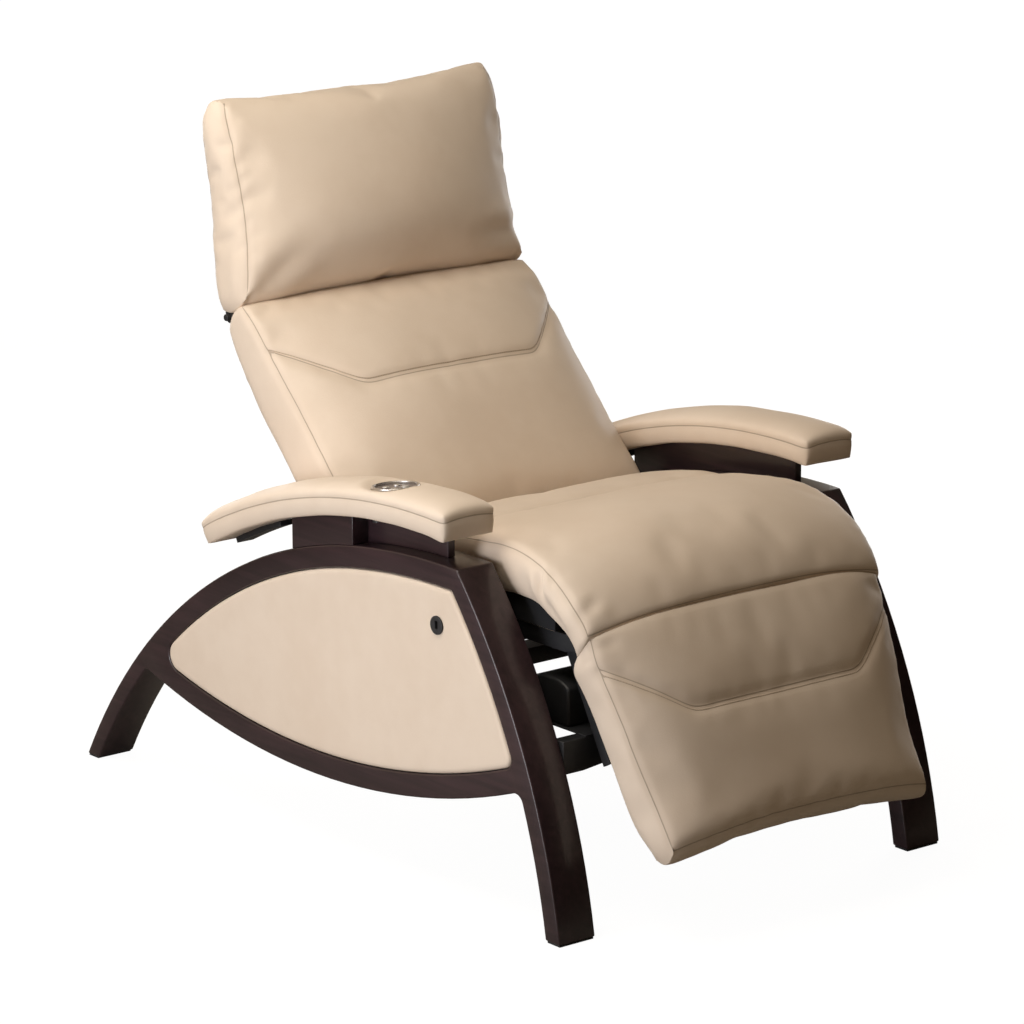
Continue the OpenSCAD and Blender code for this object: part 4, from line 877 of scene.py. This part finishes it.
BACK_KNOTS = (
    (24, 27, 22, -42, 254, 256, 12), (60, 35, 58, -49.5, 260, 261, 23), (110, 35, 110, -50, 259, 261, 33),
    (162, 35, 162, -50, 258, 261, 40.5), (214, 35, 214, -50, 258, 261, 46), (266, 35, 266, -50, 258, 261, 45),
    (318, 35, 318, -49, 259, 261, 41), (370, 35, 368, -41, 260, 261, 33), (412, 35, 410, -34, 261, 261, 22),
    (448, 27, 440, -28, 259, 258, 10),
)
STITCH_GAP = 6.0
BACK_SEAM_ROW, BACK_LAST_ROW, BACK_RISE, BACK_KNOT_PITCH = 5.0, 9.0, 1.9, 52


def seam_rows(seam_row, knot_pitch):
    """The seam's row, the row of its stitching and the one halfway."""
    return tuple(seam_row + STITCH_GAP * part / knot_pitch for part in (0, 0.5, 1))


back = Cushion("back_hide", BACK_KNOTS, back_plane, must=seam_rows(BACK_SEAM_ROW, BACK_KNOT_PITCH),
               folds=chevron(BACK_SEAM_ROW, BACK_LAST_ROW, BACK_RISE), layers=14,
               bulge=2.0, rear_crown=2.0, ends=(2.0, 9.0), power=3.2)
chevron_row = back.row_at(BACK_SEAM_ROW)
back.soften(14)
fixed = (back.k > 2) | (back.i == 0) | (back.i == len(back.t) - 1)
back.swell([*back.side_lines(), back.pick(i=chevron_row)], 0.85, fixed, cap=7.0, pressure=2.5)
back.soften(5)
far = back.sew(back.side_lines(), depth=1.3, width=6.0)
back.pucker(far, 3.3, height=0.8, reach=24, pitch=18)
far = back.sew([back.pick(i=chevron_row)], depth=2.6, width=8.0)
back.pucker(far, 9.1, height=0.7, reach=18, pitch=20)
back.sew([back.around(-1)], depth=1.2, width=6.0)
back.unsettle(6.0, height=2.0, size=140)
back.sew([back.pick(i=chevron_row + 2)], depth=0.5, width=2.5)
back_piece = back.build()
in_hide(back_piece)
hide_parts("back_cushion", "back_cover")
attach(back_piece, "back")
back_stitches = stitch("back_stitches", back, [back.pick(i=chevron_row + 2)[1:-1]])
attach(back_stitches, "back")

# ---- Headrest: a loose-filled pillow that hangs over the top of the back -----
# Front panel, boxed sides and rear panel, softer than the back; its top edge sags
# between the corners and its lower edge lies on the back cushion.

PILLOW_SAG, PILLOW_LAST_ROW = 0.28, 8.0
PILLOW_CREASES = (
    ((-252, 604, 728), (-150, 590, 802), 5.0, 16), ((-255, 640, 716), (-257, 655, 800), 2.0, 12),
    ((262, 610, 762), (150, 582, 776), 6.0, 13), ((258, 640, 745), (254, 660, 800), 2.5, 12),
    ((-244, 650, 930), (-236, 668, 975), 2.0, 10), ((246, 668, 962), (250, 690, 905), 2.5, 12),
)
PILLOW_KNOTS = (
    (602, 726, 664, 698, 255, 252, 9), (604, 756, 677, 722, 249, 255, 33), (610, 786, 682, 764, 244, 255, 49),
    (618, 824, 687, 806, 241, 255, 54), (627, 862, 692, 850, 240, 255, 51), (636, 900, 698, 894, 241, 255, 43),
    (646, 936, 705, 934, 242, 255, 33), (657, 970, 711, 968, 243, 253, 21), (672, 998, 703, 993, 236, 246, 8),
)


def sagging(t, u):
    return t - PILLOW_SAG * (1 - u ** 2) * (t / PILLOW_LAST_ROW) ** 3


pillow = Cushion("pillow_hide", PILLOW_KNOTS, flat_plane, folds=sagging, bulge=5.0, rear_crown=5.0,
                 ends=(10.0, 6.0), power=2.5, layers=12)
pillow.soften(20)
fixed = pillow.k == len(pillow.s) - 1
pillow.swell([*pillow.side_lines(), pillow.around(-1)], 0.7, fixed, cap=10.0, pressure=3.0, growth=0.008)
for crease in PILLOW_CREASES:
    pillow.crease(*crease)
far = pillow.sew(pillow.side_lines(), depth=1.4, width=6.0)
pillow.pucker(far, 12.0, height=1.4, reach=26, pitch=20)
far = pillow.sew(pillow.side_lines(-1), depth=1.2, width=6.0)
pillow.pucker(far, 14.0, height=1.4, reach=24, pitch=20)
pillow.unsettle(15.0, height=4.0, size=150)
pillow_piece = pillow.build()
in_hide(pillow_piece)
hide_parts("headrest_pillow")
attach(pillow_piece, "headrest")

# ---- Leg rest: foam and hide on its board ------------------------------------
# Two panels with a double-stitched seam like the back's, turned down at the sides,
# boxed all round; the top edge meets the seat's nose in the crease of the knee.

LEG_KNOTS = (
    (-4, 20, 20, -31, 259, 256, 29.5), (34, 17, 34, -40, 259, 258, 34), (78, 17, 78, -40, 253, 253, 36),
    (122, 16, 122, -40, 248, 251, 36), (166, 14, 166, -40, 243, 247, 36), (210, 13, 208, -40, 237, 244, 34),
    (248, 14, 246, -40, 234, 241, 32), (276, 16, 272, -34, 233, 238, 29), (297, 14, 299, -24, 231, 234, 22),
)
LEG_SEAM_ROW, LEG_LAST_ROW, LEG_RISE, LEG_BOW, LEG_KNOT_PITCH = 3.0, 8.0, -1.9, 0.62, 44
leg = Cushion("leg_hide", LEG_KNOTS, leg_plane, must=seam_rows(LEG_SEAM_ROW, LEG_KNOT_PITCH),
              folds=chevron(LEG_SEAM_ROW, LEG_LAST_ROW, LEG_RISE, bow=LEG_BOW), layers=10,
              bulge=3.0, rear_crown=0.0, ends=(1.0, 15.0))
leg_chevron = leg.row_at(LEG_SEAM_ROW)
at_crease = np.clip(1 - leg.i / 3, 0, 1) * 0.85
leg.soften(14, hold=at_crease)
fixed = (leg.k == len(leg.s) - 1) | (leg.i <= 1)
leg.swell([*leg.side_lines(), leg.pick(i=-1), leg.pick(i=leg_chevron)], 0.85, fixed, cap=7.0, pressure=2.5)
leg.soften(5, hold=at_crease)
leg.sew([leg.pick(i=0)], depth=0.6, width=3.0)
far = leg.sew([*leg.side_lines(), leg.pick(i=-1)], depth=1.3, width=6.0)
leg.pucker(far, 21.0, height=1.0, reach=26, pitch=18)
far = leg.sew([leg.pick(i=leg_chevron)], depth=2.6, width=8.0)
leg.pucker(far, 24.0, height=0.8, reach=20, pitch=20)
leg.unsettle(25.0, height=2.4, size=130)
leg.sew([leg.pick(i=leg_chevron + 2)], depth=0.5, width=2.5)
leg_piece = leg.build()
in_hide(leg_piece)
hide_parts("leg_cushion")
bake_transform(leg_piece)
leg_stitches = stitch("leg_stitches", leg, [leg.pick(i=leg_chevron + 2)[1:-1]])
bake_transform(leg_stitches)

# ---- Keypad: chrome rim, face plate and four buttons -------------------------
# A turned chrome ring drops into the right arm pad over a plastic cup; a satin plate
# carries four domed metal buttons, and the circuit board sits out of sight below.


def hard(name, light, dark, rough=0.4, spread=0.12, grain=600.0, relief=0.08, metal=0.0, brushed=None):
    """A moulded, painted or metal finish: faint clouds in colour and gloss over a fine grain."""
    material, shader, wire = finish(name, Metallic=metal)
    coords = wire.coords()
    if brushed:
        coords = wire.node("ShaderNodeMapping", None, {"Vector": coords, "Scale": brushed})
    clouds = wire.mottle(Vector=coords, Scale=22.0, Detail=4.0)
    fine = wire.mottle(Vector=coords, Scale=grain, Detail=2.0)
    clouds.between(0.3, 0.7).blend_colours((*dark, 1), (*light, 1)).into(shader, "Base Color")
    (rough - spread / 2 + clouds * spread + fine * (spread / 3)).into(shader, "Roughness")
    wire.relief(relief, 0.0005, fine).into(shader, "Normal")
    return material


def stand_for(name, material, radius, steps=3):
    """An eased copy of a hard CAD node, in its finish, on the node's own body."""
    piece = eased(name, radius, steps)
    dress(piece, material)
    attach(piece, nodes[name].parent.name.removeprefix("body:"))
    return piece


chrome = hard("satin_chrome", (0.66, 0.64, 0.62), (0.58, 0.56, 0.54), 0.27, 0.06, metal=1.0, relief=0.01)
button_metal = hard("satin_button", (0.74, 0.74, 0.74), (0.66, 0.66, 0.66), 0.36, 0.08,
                    metal=1.0, relief=0.03)
face_plate = hard("keypad_face", (0.235, 0.195, 0.175), (0.195, 0.16, 0.145), 0.38, 0.1, relief=0.05)
board_green = hard("circuit_board", (0.02, 0.10, 0.045), (0.01, 0.06, 0.03), 0.35, grain=260.0)
moulded = hard("black_plastic", (0.022, 0.022, 0.024), (0.014, 0.014, 0.015), 0.48, 0.14,
               grain=1400.0, relief=0.14)
stand_for("keypad_rim", chrome, 0.0006)
stand_for("keypad_plate", face_plate, 0.0003)
stand_for("keypad_cup", moulded, 0.0003)
stand_for("keypad_board", board_green, 0.0001)
for name in ("button_front_outer", "button_front_inner", "button_rear_outer", "button_rear_inner"):
    stand_for(name, button_metal, 0.0009, steps=4)

# ---- Socket, control box, power supply and drive: black parts ----------------
# Moulded plastic housings and powder-coated steel below and behind the seat, with
# bright zinc on the pins, brackets and screws.

powder = hard("black_paint", (0.016, 0.016, 0.018), (0.010, 0.010, 0.011), 0.42, 0.14,
              grain=420.0, relief=0.10)
zinc = hard("bright_steel", (0.60, 0.61, 0.63), (0.50, 0.51, 0.53), 0.27, 0.12, metal=1.0, relief=0.03)
for name, radius in (("panel_socket", 0.0006), ("socket_core", 0.0003), ("control_box", 0.004),
                     ("power_supply", 0.003), ("power_inlet", 0.0006), ("actuator_body", 0.002),
                     ("seat_vibrator", 0.002), ("calf_vibrator", 0.002), ("roller_carriage", 0.0015)):
    stand_for(name, moulded, radius)
for name, radius in (("control_tray", 0.0006), ("front_stretcher", 0.0015), ("rear_stretcher", 0.0015),
                     ("arm_straps", 0.0005), ("pivot_brackets", 0.0008), ("actuator_clevis", 0.0008),
                     ("seat_frame", 0.001), ("back_frame", 0.001), ("headrest_frame", 0.001),
                     ("leg_arms", 0.001)):
    stand_for(name, powder, radius)
for name, radius in (("arm_brackets", 0.0003), ("pivot_pins", 0.0006), ("frame_screws", 0.0004),
                     ("rod_pin", 0.0006), ("back_pins", 0.0006), ("leg_pins", 0.0006),
                     ("roller_track", 0.0005), ("lift_screw", 0.0004), ("actuator_rod", 0.0008)):
    stand_for(name, zinc, radius)

# ---- Boards, cloth, straps and rubber ----------------------------------------
# Birch plywood and dark fibreboard carry the foam; black cloth closes the seat from
# below, webbing straps carry it, and rubber glides stand under the four feet.


def woven(name, light, dark, threads, rough=0.85):
    """Dark cloth or webbing, in an even tone as yet: the sines are handed no wave to read."""
    material, shader, wire = finish(name, Specular_IOR_Level=0.2)
    across, along, up = wire.coords().xyz()
    warp = (across * threads).maths("SINE") * 0.5 + 0.5
    weft = ((along + up) * threads).maths("SINE") * 0.5 + 0.5
    weave = warp * 0.5 + weft * 0.5
    weave.blend_colours((*dark, 1), (*light, 1)).into(shader, "Base Color")
    (rough - weave * 0.1).into(shader, "Roughness")
    wire.relief(0.5, 0.0004, weave).into(shader, "Normal")
    return material


black_cloth = woven("black_cloth", (0.020, 0.020, 0.022), (0.008, 0.008, 0.009), 5200.0)
strap_weave = woven("webbing", (0.050, 0.045, 0.042), (0.018, 0.016, 0.015), 2600.0)
fibreboard = hard("black_board", (0.030, 0.027, 0.025), (0.018, 0.016, 0.015), 0.6, 0.1,
                  grain=300.0, relief=0.1)
plywood = hard("birch_ply", (0.62, 0.46, 0.29), (0.50, 0.35, 0.21), 0.55, 0.1,
               grain=90.0, brushed=(1, 0.06, 0.06))
glide = hard("glide_rubber", (0.030, 0.030, 0.031), (0.020, 0.020, 0.021), 0.75, 0.1, relief=0.1)
tyre = hard("roller_rubber", (0.085, 0.085, 0.090), (0.060, 0.060, 0.064), 0.65, 0.1, relief=0.1)
for name in ("dust_cover", "seat_lining"):
    for held in nodes[name].material_slots:
        held.material = black_cloth
stand_for("seat_straps", strap_weave, 0.0002)
stand_for("leg_board", fibreboard, 0.0015)
stand_for("foot_glides", glide, 0.0006)
stand_for("kneading_rollers", tyre, 0.002)
for name in ("panel_board_right", "panel_board_left", "seat_pan"):
    stand_for(name, plywood if nodes[name].material_slots[0].name == "birch_ply" else fibreboard, 0.0005)
